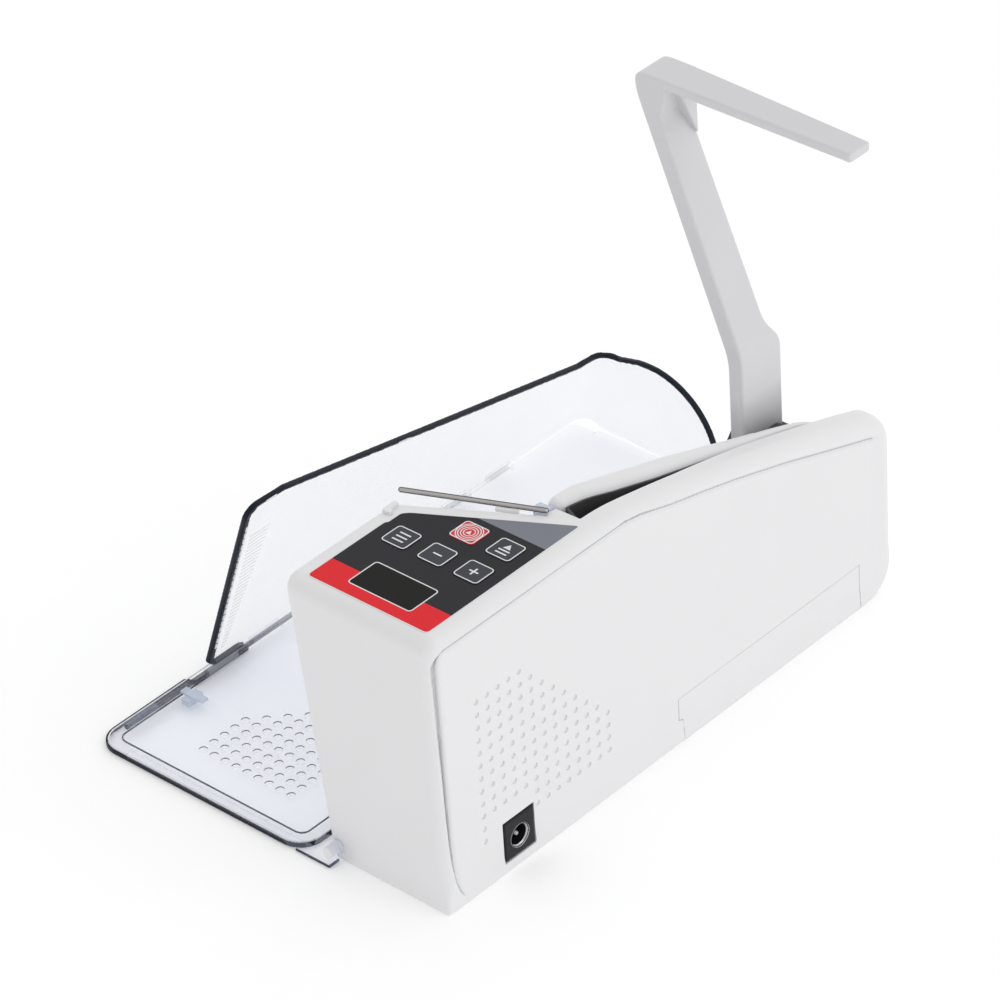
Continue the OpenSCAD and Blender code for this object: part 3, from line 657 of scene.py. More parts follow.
# Step line round the rear face, as (x, z) points along its top
STEP_X = np.array([0, 92, 100, 115, 131, 146, 171, 196, 220, 227])
STEP_Z = np.array([100.3, 100.4, 99.0, 94.7, 90.9, 87, 79.7, 71.5, 63.8, 61.5])


def step_inside(x, z):
    """Distance inside the step line of the rear face."""
    side = x - 2.4 - 1.6 * (1 - z / 99) - 6.5 * np.exp(-both(z, 0) / 7)
    top = (np.interp(x, STEP_X, STEP_Z) - z) * 0.96
    return -rmax(-side, -top, 5)


def rear_relief(x, z):
    """Depth of the rear face below its rim: a recessed field behind a narrow groove."""
    inside = step_inside(x, z)
    shown = smooth((z - 1) / 10) * smooth((222 - x) / 8)
    field = 0.4 * smooth(inside / 1.6 + 0.3)
    groove = 0.95 * np.exp(-(inside / 0.85) ** 2)
    return (field + groove) * shown


def ridge_y(x):
    """Front edge of the rear ridge, which is also the rear edge of the note slot."""
    return np.interp(x, [79.7, 95, 125, 144, 161, 206, BODY_L], [8.9, 8.3, 8.6, 9.3, 9.8, 9.6, 9.0])


def rear_distance(x, y, z):
    return rear_relief(x, z) - y


def rim_radius(z):
    return 1.2 + 4.3 * smooth((z - 2) / 16)


def ridge_distance(x, y, z):
    d = rmax(outline_distance(x, z), (y - ridge_y(x)) * 0.99, 1.0)
    return rmax(d, rear_distance(x, y, z), rim_radius(z))


def box_solid(x, y, z):
    """The control box: leaning front, diagonal inner end, rounded top."""
    front = (y - BODY_D - BOX_LEAN * z) / math.hypot(1, BOX_LEAN)
    diagonal = (x + DIAG_RUN * y - DIAG_X) / math.hypot(1, DIAG_RUN)
    d = rmax(z - DECK_Z, -x, 6)
    d = rmax(d, front, 4.6)
    d = rmax(d, -z, 1.2)
    d = rmax(d, diagonal, 0.9)
    return rmax(d, rear_distance(x, y, z), rim_radius(z))


def plane_through(a, b, c):
    """Unit normal, pointing away from the body's middle, and offset of a plane."""
    a, b, c = (np.array(p, float) for p in (a, b, c))
    n = np.cross(b - a, c - a)
    n /= np.linalg.norm(n)
    middle = np.array((130, 15, 20))
    return (n, n @ a) if n @ (a - middle) > 0 else (-n, -(n @ a))


# Corners of the front bulge at its tall and its low end
TALL_X = 48
TALL = {"foot": (52, 0), "knee": (53.5, 50), "brow": (24, 91), "back": (9, 91)}
LOW = {"foot": (52, 0), "knee": (53, 34), "brow": (44, 42), "top": (12, 62), "back": (9, 62)}


def tall(key):
    return (TALL_X, *TALL[key])


def low(key):
    return (BODY_L, *LOW[key])


BULGE_PLANES = [plane_through(*p) for p in (
    (tall("foot"), tall("knee"), low("foot")), (tall("knee"), tall("brow"), low("knee")),
    (tall("brow"), low("knee"), low("brow")), (tall("brow"), low("brow"), low("top")),
    (tall("brow"), tall("back"), low("top")))]


def bulge_distance(x, y, z):
    """The front of the body, a faceted taper with broad radii between its faces."""
    d = None
    for normal, offset in BULGE_PLANES:
        plane = normal[0] * x + normal[1] * y + normal[2] * z - offset
        if d is None:
            d = plane
            continue
        blend = both(2.6 - np.abs(d - plane), 0) ** 2 / 10.4
        d = both(d, plane) + blend
    d = rmax(d, outline_distance(x, z), 2.5)
    return rmax(d, rear_distance(x, y, z), rim_radius(z))


SLOT_REAR = [(79.7, 8.9), (95, 8.3), (125, 8.6), (144, 9.3), (161, 9.8), (205, 9.6)]
SLOT_FRONT = [(205, 11), (175, 11.3), (161, 11.4), (147, 11.8), (135, 12.2), (120, 13),
              (103, 15.2), (91, 17.8), (84, 18.6)]
SLOT_MOUTH = [(80, 20.6), (75.6, 18.4), (77.4, 14.4)]
LIP_FRONT = [(86, 25.6), (94, 25.8), (104, 24.5), (116, 23), (131, 21.3), (145, 19.1),
             (159, 17), (175, 15.2), (189, 13.4), (205, 12.2)]
LIP = SLOT_FRONT + arc(85.2, 22.1, 3.6, 260, 100) + LIP_FRONT


def slot_distance(x, y, z):
    return both(polygon_distance(x, y, SLOT_REAR + SLOT_FRONT + SLOT_MOUTH), 46 - z)


def lip_distance(x, y, z):
    """Raised lip in front of the note slot, with a fully rounded top and left end."""
    plan = polygon_distance(x, y, LIP)
    width = np.interp(x, [85, 120, 160, 205], [3.3, 3.6, 2.4, 0.55])
    fall = 0.4 + 3.2 * smooth((x - 189) / 20)
    d = rmax(plan, top_distance(x, z) + fall, width)
    return both(d, 50 - z)


def body_distance(x, y, z):
    """The whole closed body before it is hollowed."""
    return either(ridge_distance(x, y, z), box_solid(x, y, z), bulge_distance(x, y, z))


def vent_distance(u, w, pitch, columns, rows, radius, skip=None):
    """Distance to a square field of round holes with one corner cut off; u and w run from the first."""
    i = np.clip(np.round(u / pitch), 0, columns - 1)
    j = np.clip(np.round(w / pitch), 0, rows - 1)
    j = both(j, i - 4)
    d = np.hypot(u - i * pitch, w - j * pitch) - radius
    if skip is not None:
        d = np.where(skip(i, j), 5.0, d)
    return d


def near_socket(i, j):
    return (j > 9) & (i > 0) & (i < 5)


DOOR = (113.3, 208.0, 18.1)
JACK = (27.0, 42.0, 4.0, 20.0)


def door_outline(x, z, gap):
    """Battery door seen from the rear, with the small notch at half height on its left."""
    left = DOOR[0] + 2.0 * smooth((9.4 - z) / 0.8)
    d = both(left - gap - x, x - DOOR[1] - gap)
    return both(d, z - DOOR[2] - gap)


def rear_part(x, y, z):
    """The share of the body that the rear shell covers."""
    strip = y - np.where(x > 206, 9.0, either(ridge_y(x), 9.0))
    end = BODY_L - WALL - x
    return either(strip, box_solid(x, y, z), end)


def rounded_well(u, v, z, half_u, half_v):
    """Opening in the deck for a key or the display."""
    return both(rmax(np.abs(u) - half_u, np.abs(v) - half_v, 1.4), 96 - z)


def rear_shell_field(x, y, z):
    whole = body_distance(x, y, z)
    shell = rmax(whole, -(whole + WALL), 0.3)
    wall_of_slot = np.abs(y - ridge_y(x) + WALL / 2) - WALL / 2
    ridge = both(ridge_distance(x, y, z), wall_of_slot, both(78 - x, 55 - z))
    inner_end = both(box_solid(x, y, z), -(box_solid(x, y, z) + WALL))
    inner_end = both(inner_end, both(88 - z, 9 - y))
    d = either(both(shell, rear_part(x, y, z)), ridge, inner_end)
    d = rmax(d, -slot_distance(x, y, z), 0.25)
    vents = vent_distance(x - 19.06, 73.24 - z, 5, 13, 12, 0.95, near_socket)
    d = rmax(d, -both(vents, y - 0.95), 0.25)
    d = both(d, -box_distance(x, y, z, JACK[0], JACK[1], -3, 6, JACK[2], JACK[3]))
    d = both(d, -both(door_outline(x, z, 0), y - 6))
    d = both(d, -box_distance(x, y, z, 2.3, 210, 2.3, 49.7, -3, 2.4))
    for cx, cy in KEYS.values():
        d = both(d, -rounded_well(x - cx, y - cy, z, 5.05, 5.35))
    d = both(d, -rounded_well(x - 16.9, y - 30.5, z, 6.45, 12.85))
    ear = np.hypot(y - 47.5, z - 6) - 2.05
    return both(d, -ear)


def front_shell_field(x, y, z):
    bulge = bulge_distance(x, y, z)
    shell = rmax(bulge, -(bulge + WALL), 0.3)
    shell = both(shell, x - BODY_L + WALL + 0.2)
    lip = lip_distance(x, y, z)
    d = rmin(shell, lip, 2.5)
    d = both(d, -box_solid(x, y, z) + 0.2)
    d = both(d, either(9.2, ridge_y(x) + 0.2) - y)
    d = both(d, -slot_distance(x, y, z))
    outlet = rmax(np.abs(z - 28.5) - 4, np.abs(x - 148) - 64, 2.5)
    d = rmax(d, -both(outlet, 44 - y), 0.8)
    pocket = box_distance(x, y, z, 184.3 - 12.4, 184.3 + 12.4, 14.2, 29.8, 57.8, 96)
    d = rmax(d, -pocket, 0.3)
    return both(d, 0.6 - z)


DECK_FINE = (DECK_Z - 7, DECK_Z + 0.5, FINE)
sculpted("rear_casing", rear_shell_field,
         axis(-0.8, BODY_L + 0.8, COARSE, ((-0.8, 7.2, FINE), (16, 82, FINE))),
         axis(-0.6, 65, COARSE, ((-0.6, 3.2, FINE),)),
         axis(-0.8, DECK_Z + 0.7, COARSE, ((16, 76, FINE), DECK_FINE)),
         "white_plastic", replaces=("rear_shell",))


def groove_shade_field(x, y, z):
    """A narrow grey ribbon of painted shade along the bottom of the groove, just proud of it."""
    depth = rear_relief(x, z)
    half = 0.28 + 0.06 * smooth((z - 20) / 60)
    d = both(np.abs(step_inside(x, z)) - half, np.abs(y - depth - 0.1) - 0.24)
    return both(d, both(3.0 - z, x - 217))


# the groove's shade is painted on with a grey ribbon
sculpted("rear_groove_shade", groove_shade_field, axis(0.2, 218, 0.5), axis(0.2, 2.2, 0.2), axis(1, DECK_Z, 0.5),
         "groove_painted_shade")
sculpted("front_casing", front_shell_field,
         axis(50, BODY_L + 0.6, COARSE), axis(8, 56, COARSE), axis(-0.4, DECK_Z + 0.8, COARSE),
         "white_plastic", replaces=("front_shell",))

# ---- control panel


def round_corners(outline, radii, n=4):
    """The outline with each corner replaced by a smooth bend; radii is one number or one per corner."""
    radii = radii if isinstance(radii, (list, tuple)) else [radii] * len(outline)
    bent = []
    for i, r in enumerate(radii):
        corner = np.array(outline[i], float)
        before = np.array(outline[i - 1], float) - corner
        after = np.array(outline[(i + 1) % len(outline)], float) - corner
        a = corner + before * min(r / np.linalg.norm(before), 0.49)
        b = corner + after * min(r / np.linalg.norm(after), 0.49)
        for t in np.linspace(0, 1, n + 1):
            bent.append(tuple((1 - t) ** 2 * a + 2 * t * (1 - t) * corner + t * t * b))
    return bent


def grown(outline, d):
    """The anticlockwise outline moved outwards by d."""
    p = np.array(outline, float)
    edge = np.roll(p, -1, 0) - p
    normal = np.stack([edge[:, 1], -edge[:, 0]], 1)
    normal /= np.linalg.norm(normal, axis=1, keepdims=True)
    last = np.roll(normal, 1, 0)
    share = 1 + (normal * last).sum(1, keepdims=True)
    return [tuple(q) for q in p + (normal + last) / share * d]


def sheet(name, outline, holes, z0, z1, material, body="chassis", slot=None, replaces=()):
    """Flat piece with holes between two heights."""
    curve = bpy.data.curves.new(name, "CURVE")
    curve.dimensions = "2D"
    curve.fill_mode = "BOTH"
    curve.extrude = (z1 - z0) / 2
    for loop in [outline, *holes]:
        spline = curve.splines.new("POLY")
        spline.points.add(len(loop) - 1)
        for point, (x, y) in zip(spline.points, loop):
            point.co = (x, y, 0, 1)
        spline.use_cyclic_u = True
    holder = bpy.data.objects.new(name + "_curve", curve)
    bpy.context.scene.collection.objects.link(holder)
    graph = bpy.context.evaluated_depsgraph_get()
    mesh = bpy.data.meshes.new_from_object(holder.evaluated_get(graph))
    bpy.data.objects.remove(holder)
    bpy.data.curves.remove(curve)
    mesh.name = name
    mesh.transform(Matrix.Translation(place(0, 0, (z0 + z1) / 2)) @ Matrix.Scale(MM, 4))
    turn_outwards(mesh, 1e-7)
    mesh.materials.clear()
    return mount(link(name, mesh, material, slot), body, replaces)


OVERLAY = [(5.4, 5.9), (76.3, 5.9), (49.4, 53.4), (47.4, 55.2), (41.8, 55.2), (40.6, 56), (5.4, 56)]
FILM = round_corners(OVERLAY, [1.6, 1.2, 1.4, 0.8, 0.5, 0.5, 1.6])
WINDOW = (10.4, 23.4, 17.6, 43.4)
CAP_TOP = DECK_Z + 0.4


def key_outline(key, d=0.0):
    x, y = KEYS[key]
    return rounded_rect(x - 4.8 + d, x + 4.8 - d, y - 5.1 + d, y + 5.1 - d, 1.5 - d)


def window_outline(d):
    x0, x1, y0, y1 = WINDOW
    return rounded_rect(x0 + d, x1 - d, y0 + d, y1 - d, 1.0 - d)


sheet("panel_film", FILM, [key_outline(k, -0.22) for k in KEYS] + [window_outline(-0.05)],
      DECK_Z - 0.04, DECK_Z + 0.14, "panel_film", replaces=("control_overlay",))
sheet("panel_film_edge", grown(FILM, 0.42), [grown(FILM, 0.02)], DECK_Z - 0.04, DECK_Z + 0.1,
      "print_white", slot="panel_film")
piece("display_glass", [prism(window_outline(0), DECK_Z - 0.6, DECK_Z + 0.16)], "display_lens",
      bevel=0.08, segments=2, replaces=("display_window",))
piece("display_frame", [frame_ring(window_outline(-0.42), window_outline(0.02), DECK_Z, DECK_Z + 0.2)],
      "print_white", slot="panel_film", bevel=0.05, segments=2)


def ring(cx, cy, r0, r1, z0, z1, n=40):
    return frame_ring(arc(cx, cy, r1, 0, 360 - 360 / n, n - 1), arc(cx, cy, r0, 0, 360 - 360 / n, n - 1),
                      z0, z1)


def bar(cx, cy, w, l, z0, z1):
    outline = rounded_rect(cx - w / 2, cx + w / 2, cy - l / 2, cy + l / 2, min(w, l) * 0.3, 2)
    return prism(outline, z0, z1)


def key_marks(key, z0, z1):
    """Raised marks on a key: plus, minus, a stack of bars, a stack with an arrow, or target rings."""
    x, y = KEYS[key]
    if key == "minus":
        return [bar(x, y, 0.62, 3.6, z0, z1)]
    if key == "plus":
        a, b = 0.31, 1.8
        cross = [(-a, -b), (a, -b), (a, -a), (b, -a), (b, a), (a, a), (a, b), (-a, b), (-a, a), (-b, a),
                 (-b, -a), (-a, -a)]
        return [prism([(x + u, y + v) for u, v in cross], z0, z1)]
    if key == "batch":
        return [bar(x + d, y, 0.62, 4.6, z0, z1) for d in (-1.9, 0, 1.9)]
    if key == "add":
        arrow = [(x + 0.3, y - 1.5), (x + 2.7, y), (x + 0.3, y + 1.5)]
        return [bar(x + d, y, 0.62, 4.6, z0, z1) for d in (-2.4, -0.8)] + [prism(arrow, z0, z1)]
    arrow = [(x - 0.9, y - 1.0), (x + 1.0, y), (x - 0.9, y + 1.0)]
    return [ring(x, y, r, r + 0.34, z0, z1) for r in (1.75, 2.65, 3.55, 4.3)] + [prism(arrow, z0, z1)]


for key in KEYS:
    cap = prism(key_outline(key), DECK_Z - 2.6, CAP_TOP)
    stem = prism(arc(*KEYS[key], 1.6, 0, 345, 23), 101.1, DECK_Z - 2.5)
    look, body = "red_key" if key == "start" else "dark_key", key + "_key"
    piece(body + "_cap", [cap, stem], look, body, bevel=0.22, replaces=(body,))
    border = frame_ring(key_outline(key, 0.12), key_outline(key, 0.52), CAP_TOP - 0.05, CAP_TOP + 0.035)
    marks = key_marks(key, CAP_TOP - 0.05, CAP_TOP + 0.03)
    piece(body + "_print", [border, *marks], "print_white", body, slot=look)

# ---- socket, battery lid and small parts of the body


def jack_field(x, y, z):
    """Bevelled square face with a round mouth, and the socket body behind it."""
    face = rmax(np.abs(x - 34.5) - 7.25, np.abs(z - 12) - 7.75, 0.7)
    d = both(rmax(face, 0.12 - y, 0.9), y - 4)
    body = both(box_distance(x, y, z, 29, 40, 3, 13, 6, 17), 3 - y)
    mouth = both(np.hypot(x - 34.5, z - 11.5) - 4.1, y - 11)
    return rmax(either(d, body), -mouth, 0.4)


def tube_y(cx, cz, profile, n=36):
    """Closed turned shape about an axis along Y; profile is a loop of (radius, y) points."""
    turn = np.linspace(0, 2 * np.pi, n, endpoint=False)
    points = [(cx + r * math.cos(t), y, cz + r * math.sin(t)) for t in turn for r, y in profile]
    m = len(profile)
    faces = [(i * m + k, i * m + (k + 1) % m, (i + 1) % n * m + (k + 1) % m, (i + 1) % n * m + k)
             for i in range(n) for k in range(m)]
    return points, faces


sculpted("power_socket", jack_field, axis(26.8, 42.2, 0.3), axis(-0.3, 13.4, 0.4), axis(3.8, 20.2, 0.3),
         "jack_plastic", replaces=("dc_jack",))
for part, profile in (("ring", [(3.7, 0.9), (4.12, 0.5), (4.4, 0.04), (4.55, 0.3), (4.2, 1.2)]),
                      ("pin", [(0.02, 1.4), (0.6, 1.45), (0.95, 2.0), (0.95, 11.2), (0.02, 11.2)])):
    piece("socket_" + part, [tube_y(34.5, 11.5, profile)], "steel")


def lid_field(x, y, z):
    """Battery lid: the rear face's own surface inside the lid outline, and its foot under the bay."""
    shell = both(body_distance(x, y, z), y - 2.0)
    panel = rmax(shell, door_outline(x, z, -0.07), 0.12)
    foot = box_distance(x, y, z, 116.6, 207.8, 0.2, 22, 0.06, 1.6)
    return either(panel, foot)


sculpted("battery_lid", lid_field, axis(112.8, 208.5, COARSE), axis(-0.5, 22.5, COARSE),
         axis(-0.4, 18.6, COARSE), "white_plastic", "battery_door", replaces=("battery_door",))

WIRE_ROOT, WIRE_TIP = np.array((75.4, 18.8, 106.6)), np.array((56.2, 63.2, 106.6))


def wire_field(x, y, z):
    along = WIRE_TIP - WIRE_ROOT
    px, py, pz = x - WIRE_ROOT[0], y - WIRE_ROOT[1], z - WIRE_ROOT[2]
    t = np.clip((px * along[0] + py * along[1]) / (along @ along), 0, 1)
    return np.sqrt((px - t * along[0]) ** 2 + (py - t * along[1]) ** 2 + pz ** 2) - 0.9


sculpted("guide_wire_rod", wire_field,
         axis(54.8, 77, 0.3), axis(17.4, 64.6, 0.3), axis(105.4, 107.8, 0.24),
         "wire_chrome", flat_angle=0.05, replaces=("guide_wire",))
piece("slot_rib", [prism([(79.9, 8.9), (79.5, 18.2), (75.4, 19.4), (74.6, 17.2)], 99, DECK_Z - 0.15)],
      "white_plastic", bevel=0.25)
piece("rim_bump", [prism(round_corners([(67.8, 33.4), (71.4, 26.4), (70.2, 26.0), (66.9, 32.9)], 0.6),
                         DECK_Z - 0.6, DECK_Z + 0.75)], "white_plastic", bevel=0.3)

# ---- note support arm

ARM_X, ARM_Y, ARM_PIVOT = 184.3, 20.6, 74.0
FOLD_Z, BAR_Z, BAR_TOP, LEG_Y = 108.0, 202.4, 206.0, 55.3
ARM_SIDE = round_corners(
    [(ARM_Y, 63), (ARM_Y + 6, 63), (ARM_Y + 6, FOLD_Z - 3), (ARM_Y + 6.8, FOLD_Z + 2),
     (LEG_Y + 5.6, BAR_TOP - 7), (LEG_Y + 5.6, BAR_TOP), (LEG_Y - 82.5, BAR_TOP),
     (LEG_Y - 82.5, BAR_TOP - 3.4), (LEG_Y - 7, BAR_TOP - 3.6), (LEG_Y - 4.4, BAR_Z - 12),
     (ARM_Y + 0.9, FOLD_Z + 5), (ARM_Y, FOLD_Z + 0.5)],
    [1, 1, 2, 3, 4, 5, 0.8, 0.8, 1.5, 2, 0.8, 0.8])
ARM_FACE = round_corners(
    arc(ARM_X, ARM_PIVOT, 10.2, 180, 360, 16)
    + [(ARM_X + 10.2, FOLD_Z + 1.5), (ARM_X + 5.0, FOLD_Z + 8), (ARM_X + 2.4, BAR_Z + 9),
       (ARM_X - 11.4, BAR_Z + 9), (ARM_X - 10.2, FOLD_Z)], [0.2] * 17 + [4, 4, 1, 1, 3])


def arm_field(x, y, z):
    """Folded strip: its side and face outlines, the tapering top bar and softly rounded edges."""
    d = rmax(polygon_distance(y, z, ARM_SIDE), polygon_distance(x, z, ARM_FACE), 1.0)
    web = polygon_distance(x, z, [(187.0, 180.6), (186.9, BAR_Z + 2), (176.5, BAR_Z + 2)])
    d = either(d, rmax(web, both(46.4 - y, y - 56), 0.5))
    right = x - np.interp(y, [-28, 44], [ARM_X - 1.1, ARM_X + 2.4])
    d = rmax(d, np.where((z > BAR_Z - 4) & (y < 46), right, -4.0), 1.0)
    return both(d, 2.08 - off_axis(x, z, (ARM_X, ARM_PIVOT)))


ARM_STEP = 0.55
sculpted("support_arm", arm_field, axis(172, 196, ARM_STEP), axis(-28.4, 62.4, ARM_STEP),
         axis(62.4, 207, ARM_STEP), "arm_plastic", "arm", flat_angle=0.5, replaces=("note_arm",))

# ---- clear tray

TRAY_X = (-5.6, BODY_L + 5.6)
TRAY_Y = (58.0, 153.6)
PIVOT = (47.5, 6.0)
HINGE = (148.0, 4.0)


def rounded_box(u, v, u0, u1, v0, v1, r):
    a = np.abs(u - (u0 + u1) / 2) - ((u1 - u0) / 2 - r)
    b = np.abs(v - (v0 + v1) / 2) - ((v1 - v0) / 2 - r)
    return np.hypot(both(a, 0), both(b, 0)) + either(both(a, b), 0) - r


def tray_plan(x, y):
    """Outline of the plate; its far strip stops, at a slant, just before the cover."""
    outline = rounded_box(x, y, *TRAY_X, *TRAY_Y, 9)
    strip = either(x - 38.6 + 0.35 * (y - 150), y - 149.9)
    return rmax(outline, strip, 0.8)


def tray_border(x):
    """Width of the dark edge; beyond the cover's free side the edge is plain."""
    return 0.62 * smooth((66 - x) / 4)


def tray_field(x, y, z):
    """Vented plate with side rims, pivot ears and hinge knuckles."""
    plate = rmax(tray_plan(x, y) + tray_border(x), np.abs(z - 1.1) - 0.9, 0.25)
    vents = vent_distance(x - 12.9, 121.2 - y, 5, 13, 9, 1.3)
    plate = rmax(plate, -vents, 0.2)
    side = np.abs(np.abs(x - (TRAY_X[0] + TRAY_X[1]) / 2) - (TRAY_X[1] - TRAY_X[0]) / 2 + 1.5) - 1.5
    ear = off_axis(y, z, PIVOT) - 5.6
    foot = both(47.5 - y, y - 139, both(0.2 - z, z - 3.4))
    rim = rmax(side, rmin(ear, foot, 2.5), 0.45)
    off_middle = np.abs(x - BODY_L / 2)
    boss = both(off_middle - BODY_L / 2 - 5.4, BODY_L / 2 + 0.3 - off_middle)
    rim = either(rim, both(boss, ear + 2.4))
    rim = both(rim, 0.2 - z)
    knuckle = off_axis(y, z, HINGE) - 1.9
    knuckle = either(knuckle, both(np.abs(y - HINGE[0]) - 1.2, np.abs(z - 2.5) - 1.5))
    turns = np.abs(np.mod(x - 11 + 30, 60) - 30) - 7
    turns = np.where((x > 0) & (x < 196), turns, 5.0)
    d = either(plate, rim, rmax(knuckle, turns, 0.3))
    d = both(d, 1.0 - off_axis(y, z, HINGE))
    return both(d, 2.06 - off_axis(y, z, PIVOT))


def tray_edge_field(x, y, z):
    """The dark border of the plate, a little proud of it."""
    plan = tray_plan(x, y) - 0.03
    d = rmax(plan, np.abs(z - 1.12) - 0.95, 0.3)
    d = both(d, -(plan + tray_border(x)), x - 64)
    ear = both(TRAY_X[0] - 0.04 - x, x + 0.7, both(46.9 - y, y - 62))
    ear = both(ear, either(x - TRAY_X[0] - 0.6, y - 47.6))
    return either(d, both(ear, np.abs(z - 0.65) - 0.42))


def tray_line_field(inset, width, height):
    """A thin raised line on the plate that follows its outline at an inset."""
    def field(x, y, z):
        line = np.abs(rounded_box(x, y, *TRAY_X, *TRAY_Y, 9) + inset) - width / 2
        d = both(line, np.abs(z - 2.0) - height)
        return both(d, x - 62)
    return field


TRAY_STEP = 0.75
sculpted("tray_sheet", tray_field,
         axis(TRAY_X[0] - 0.6, TRAY_X[1] + 0.6, TRAY_STEP,
              ((-6.2, -2, 0.4), (10, 76, 0.5), (228, 233, 0.4))),
         axis(41, TRAY_Y[1] + 0.6, TRAY_STEP, ((78, 125, 0.5), (145, 151, 0.4))),
         axis(-0.1, 12.2, 0.8, ((-0.1, 4, 0.4),)), "clear_plastic", "tray", replaces=("tray",))
LEFT = axis(TRAY_X[0] - 0.6, 66, 0.4)
ACROSS = axis(46, TRAY_Y[1] + 0.6, 0.4)
sculpted("tray_rim_line", tray_edge_field, LEFT, ACROSS, axis(-0.3, 2.6, 0.4), "clear_edge", "tray")
# tray_highlight is a painted highlight: a light line just inside the plate's dark edge
for line, inset, width, height, line_material in (("highlight", 1.0, 0.5, 0.25, "clear_highlight"),
                                           ("step_line", 5.6, 0.5, 0.3, "clear_line")):
    sculpted("tray_" + line, tray_line_field(inset, width, height), LEFT, ACROSS,
             axis(1.4, 2.6, 0.25), line_material, "tray")


def vent_rims():
    """A crescent of wall shows at each vent of the tray."""
    parts = []
    for i in range(13):
        for j in range(9):
            if j >= i - 4:
                x, y = 12.9 + 5 * i, 121.2 - 5 * j
                outer = arc(x, y, 1.52, -34, 122, 12)
                inner = arc(x - 0.14, y - 0.14, 1.42, 122, -34, 12)
                parts.append(prism(outer + inner, 1.85, 2.04))
    return parts


piece("tray_vent_rims", vent_rims(), "clear_line", "tray")

# ---- clear cover

COVER_T = 1.9
BEND_X, BEND_R = 227.9, 7.05
LEAN = math.radians(110)
BEND_END = BEND_X + BEND_R * math.pi / 2


def cover_coords(x, y, z):
    """Position along the bent sheet, height above the hinge, and distance from the sheet's middle."""
    v = (y - HINGE[0]) * math.cos(LEAN) + (z - HINGE[1]) * math.sin(LEAN)
    w = -(y - HINGE[0]) * math.sin(LEAN) + (z - HINGE[1]) * math.cos(LEAN)
    px, pw = x - BEND_X, w - BEND_R
    bent = (px > 0) & (pw < 0)
    turn = np.arctan2(both(px, 0), both(-pw, 1e-6))
    wall = ~bent & (pw > 0) & (pw > -px)
    u = np.where(bent, BEND_X + BEND_R * turn, np.where(wall, BEND_END + pw, x))
    n = np.where(bent, np.hypot(px, pw) - BEND_R, np.where(wall, px - BEND_R, -w))
    return u, v, n


COVER_OUTLINE = (
    [(44.6, 2.6), (BEND_END + 2, 2.6)]
    + [(BEND_END + w, v) for v, w in arc(14.9, 22.2, 31, 83, -30, 20)]
    + [(BEND_END - 0.6, 37.0), (BEND_X + 6, 36.3), (BEND_X, 36.0), (BEND_X - 8, 37.0), (58.5, 84.6)]
    + arc(45.6, 80.0, 5.2, 90, 180, 6) + [(40.4, 60), (40.8, 6.4)])


def cover_outline_distance(u, v):
    return polygon_distance(u, v, COVER_OUTLINE)


def cover_field(x, y, z):
    """Clear sheet inside its dark edge, with the hinge knuckles."""
    u, v, n = cover_coords(x, y, z)
    d = rmax(np.abs(n) - COVER_T / 2, cover_outline_distance(u, v) + edge_width(u, v) - 0.02, 0.1)
    knuckle = off_axis(y, z, HINGE) - 1.9
    flap = both(np.abs(n) - COVER_T / 2, both(v - 5.5, -v))
    knuckle = either(knuckle, flap)
    turns = either(np.abs(x - 49) - 7, np.abs(x - 107) - 7, np.abs(x - 167) - 7)
    d = either(d, rmax(knuckle, turns, 0.3))
    return both(d, 1.06 - off_axis(y, z, HINGE))


def edge_width(u, v):
    """Width of the dark edge, broader down the free side."""
    side = 1.5 + 0.9 * smooth((46 - u) / 2)
    low = 9 + 0.26 * both(u - BEND_END, 0)
    return side * (1 - smooth((u - 56) / 5) * smooth((low - v) / 4))


def cover_edge_field(x, y, z):
    u, v, n = cover_coords(x, y, z)
    outline = cover_outline_distance(u, v)
    d = rmax(np.abs(n) - COVER_T / 2 - 0.04, outline, 0.45)
    return both(d, -(outline + edge_width(u, v)))


COVER_STEP = 0.7
COVER_AXES = (axis(39.6, 237, COVER_STEP), axis(83.4, 151, COVER_STEP), axis(-0.2, 86, COVER_STEP))
sculpted("cover_sheet", cover_field, *COVER_AXES, "clear_cover", "cover",
         replaces=("cover",))
sculpted("cover_edge", cover_edge_field, *COVER_AXES, "clear_edge", "cover")


def cover_point(u, v, n):
    """A point of the cover's flat part, in millimetres, at a distance n from its middle."""
    out, up = math.cos(LEAN), math.sin(LEAN)
    return (u, HINGE[0] + v * out + n * up, HINGE[1] + v * up - n * out)


def cover_bar(start, end, half, low=-0.9, high=-1.1):
    """A thin bar on the cover's body side, from start to end, as one closed part."""
    along = np.subtract(end, start) / np.hypot(*np.subtract(end, start))
    across = np.array((-along[1], along[0])) * half
    ring = [np.add(start, -across), np.add(end, -across), np.add(end, across), np.add(start, across)]
    points = [cover_point(u, v, n) for n in (low, high) for u, v in ring]
    faces = [(0, 1, 2, 3), (7, 6, 5, 4)] + [(i, i + 4, (i + 1) % 4 + 4, (i + 1) % 4) for i in range(4)]
    return points, faces


ribs = [cover_bar((45.4, v), (46.4 + 8.6 * (v - 6) / 66, v), 0.3) for v in np.arange(12, 70, 1.9)]
piece("cover_ribs", ribs, "clear_rib", "cover")
# painted highlights: bright dashes along the cover's free side and two short bars on its top edge
painted_highlights = [cover_bar((42.1, v), (42.1, v + 2.1), 0.42, -0.9, -1.25) for v in np.arange(14, 76, 3.0)]
for start, end in (((49.0, 84.2), (54.0, 84.1)), ((118, 66.1), (124, 64.35))):
    painted_highlights.append(cover_bar(start, end, 0.35, -0.9, -1.2))
piece("cover_highlights", painted_highlights, "clear_highlight", "cover")

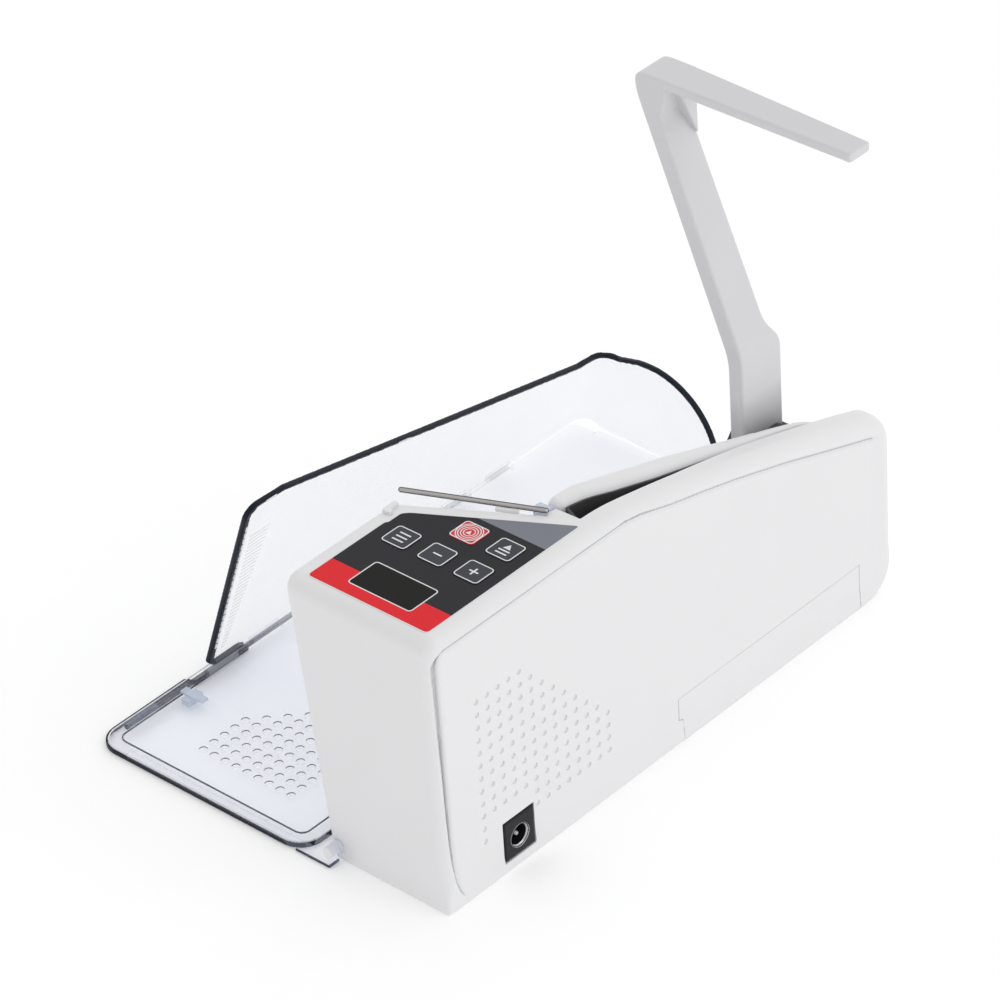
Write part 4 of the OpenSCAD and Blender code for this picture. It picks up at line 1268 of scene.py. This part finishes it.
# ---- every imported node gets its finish

SLOTS = {part["node"]: part["material_slot"] for part in frame["record"]["subparts"]}
SOFT_NODES = {"wire_holder": 0.25, "lid_catch": 0.3, "arm_bracket": 0.4, "tray_clip": 0.25,
              "arm_pin": 0.3, "tray_pins": 0.3, "foot_pads": 0.1}
for name, obj in NODES.items():
    obj.data.materials.clear()
    obj.data.materials.append(MATERIALS["hinge_line" if name == "cover_pin" else SLOTS[name]])
    if name in SOFT_NODES:
        weld = obj.modifiers.new("weld", "WELD")
        weld.merge_threshold = 0.00001
        soften(obj, SOFT_NODES[name])

# ---- stage


def build_floor():
    size = 3.0
    mesh = bpy.data.meshes.new("floor")
    mesh.from_pydata([(-size, -size, 0), (size, -size, 0), (size, size, 0), (-size, size, 0)],
                     [], [(0, 1, 2, 3)])
    floor = bpy.data.objects.new("floor", mesh)
    bpy.context.scene.collection.objects.link(floor)
    tree, shader = new_material("floor")
    paper = noise(tree, 4, 2)
    paper = mix_colour(tree, paper, (0.955, 0.955, 0.96), (0.965, 0.965, 0.965))
    drive(shader, "Base Color", paper)
    drive(shader, "Emission Color", paper)
    drive(shader, "Emission Strength", 0.16)
    drive(shader, "Roughness", 0.9)
    drive(shader, "Specular IOR Level", 0.1)
    mesh.materials.append(MATERIALS["floor"])


def area_light(name, location, target, size, power):
    data = bpy.data.lights.new(name, "AREA")
    data.shape = "DISK"
    data.size = size
    data.energy = power
    light = bpy.data.objects.new(name, data)
    light.location = location
    light.rotation_mode = "QUATERNION"
    light.rotation_quaternion = (Vector(target) - Vector(location)).to_track_quat("-Z", "Y")
    bpy.context.scene.collection.objects.link(light)


def build_world(strength):
    """White surroundings: full white to the camera, softer as a light."""
    world = bpy.data.worlds.new("studio")
    bpy.context.scene.world = world
    world.use_nodes = True
    tree = world.node_tree
    path = add(tree, "ShaderNodeLightPath")
    shown = add(tree, "ShaderNodeMapRange")
    drive(shown, "To Max", 1.0)
    drive(shown, "Value", path.outputs["Is Camera Ray"])
    # the side towards the control end and overhead is a little dimmer
    coords = add(tree, "ShaderNodeTexCoord")
    toward = add(tree, "ShaderNodeVectorMath", operation="DOT_PRODUCT")
    drive(toward, 1, Vector((-0.85, 0.2, 0.5)).normalized())
    drive(toward, 0, coords.outputs["Generated"])
    drive(shown, "To Min", remap(tree, toward.outputs["Value"], strength, strength * 0.74, 0.1, 0.95))
    tree.links.new(shown.outputs["Result"], tree.nodes["Background"].inputs["Strength"])
    tree.nodes["Background"].inputs["Color"].default_value = (1, 1, 1, 1)


def build_camera():
    """Camera at the photograph's angle, set by its place and its right and forward directions."""
    data = bpy.data.cameras.new("camera")
    data.sensor_width = 36
    data.lens = 189.28
    camera = bpy.data.objects.new("camera", data)
    forward = Vector((0.59311, 0.56878, -0.56983)).normalized()
    right = Vector((0.66371, -0.74606, -0.05385)).normalized()
    up = right.cross(forward)
    turn = Matrix((right, up, -forward)).transposed().to_4x4()
    camera.matrix_world = Matrix.Translation((-1.02566, -0.93461, 1.05120)) @ turn
    bpy.context.scene.collection.objects.link(camera)
    bpy.context.scene.camera = camera


build_floor()
build_world(0.97)
area_light("key", (0.5, -1.6, 1.3), (0, 0, 0.05), 1.2, 3)
build_camera()
bpy.context.scene.view_settings.view_transform = "Standard"
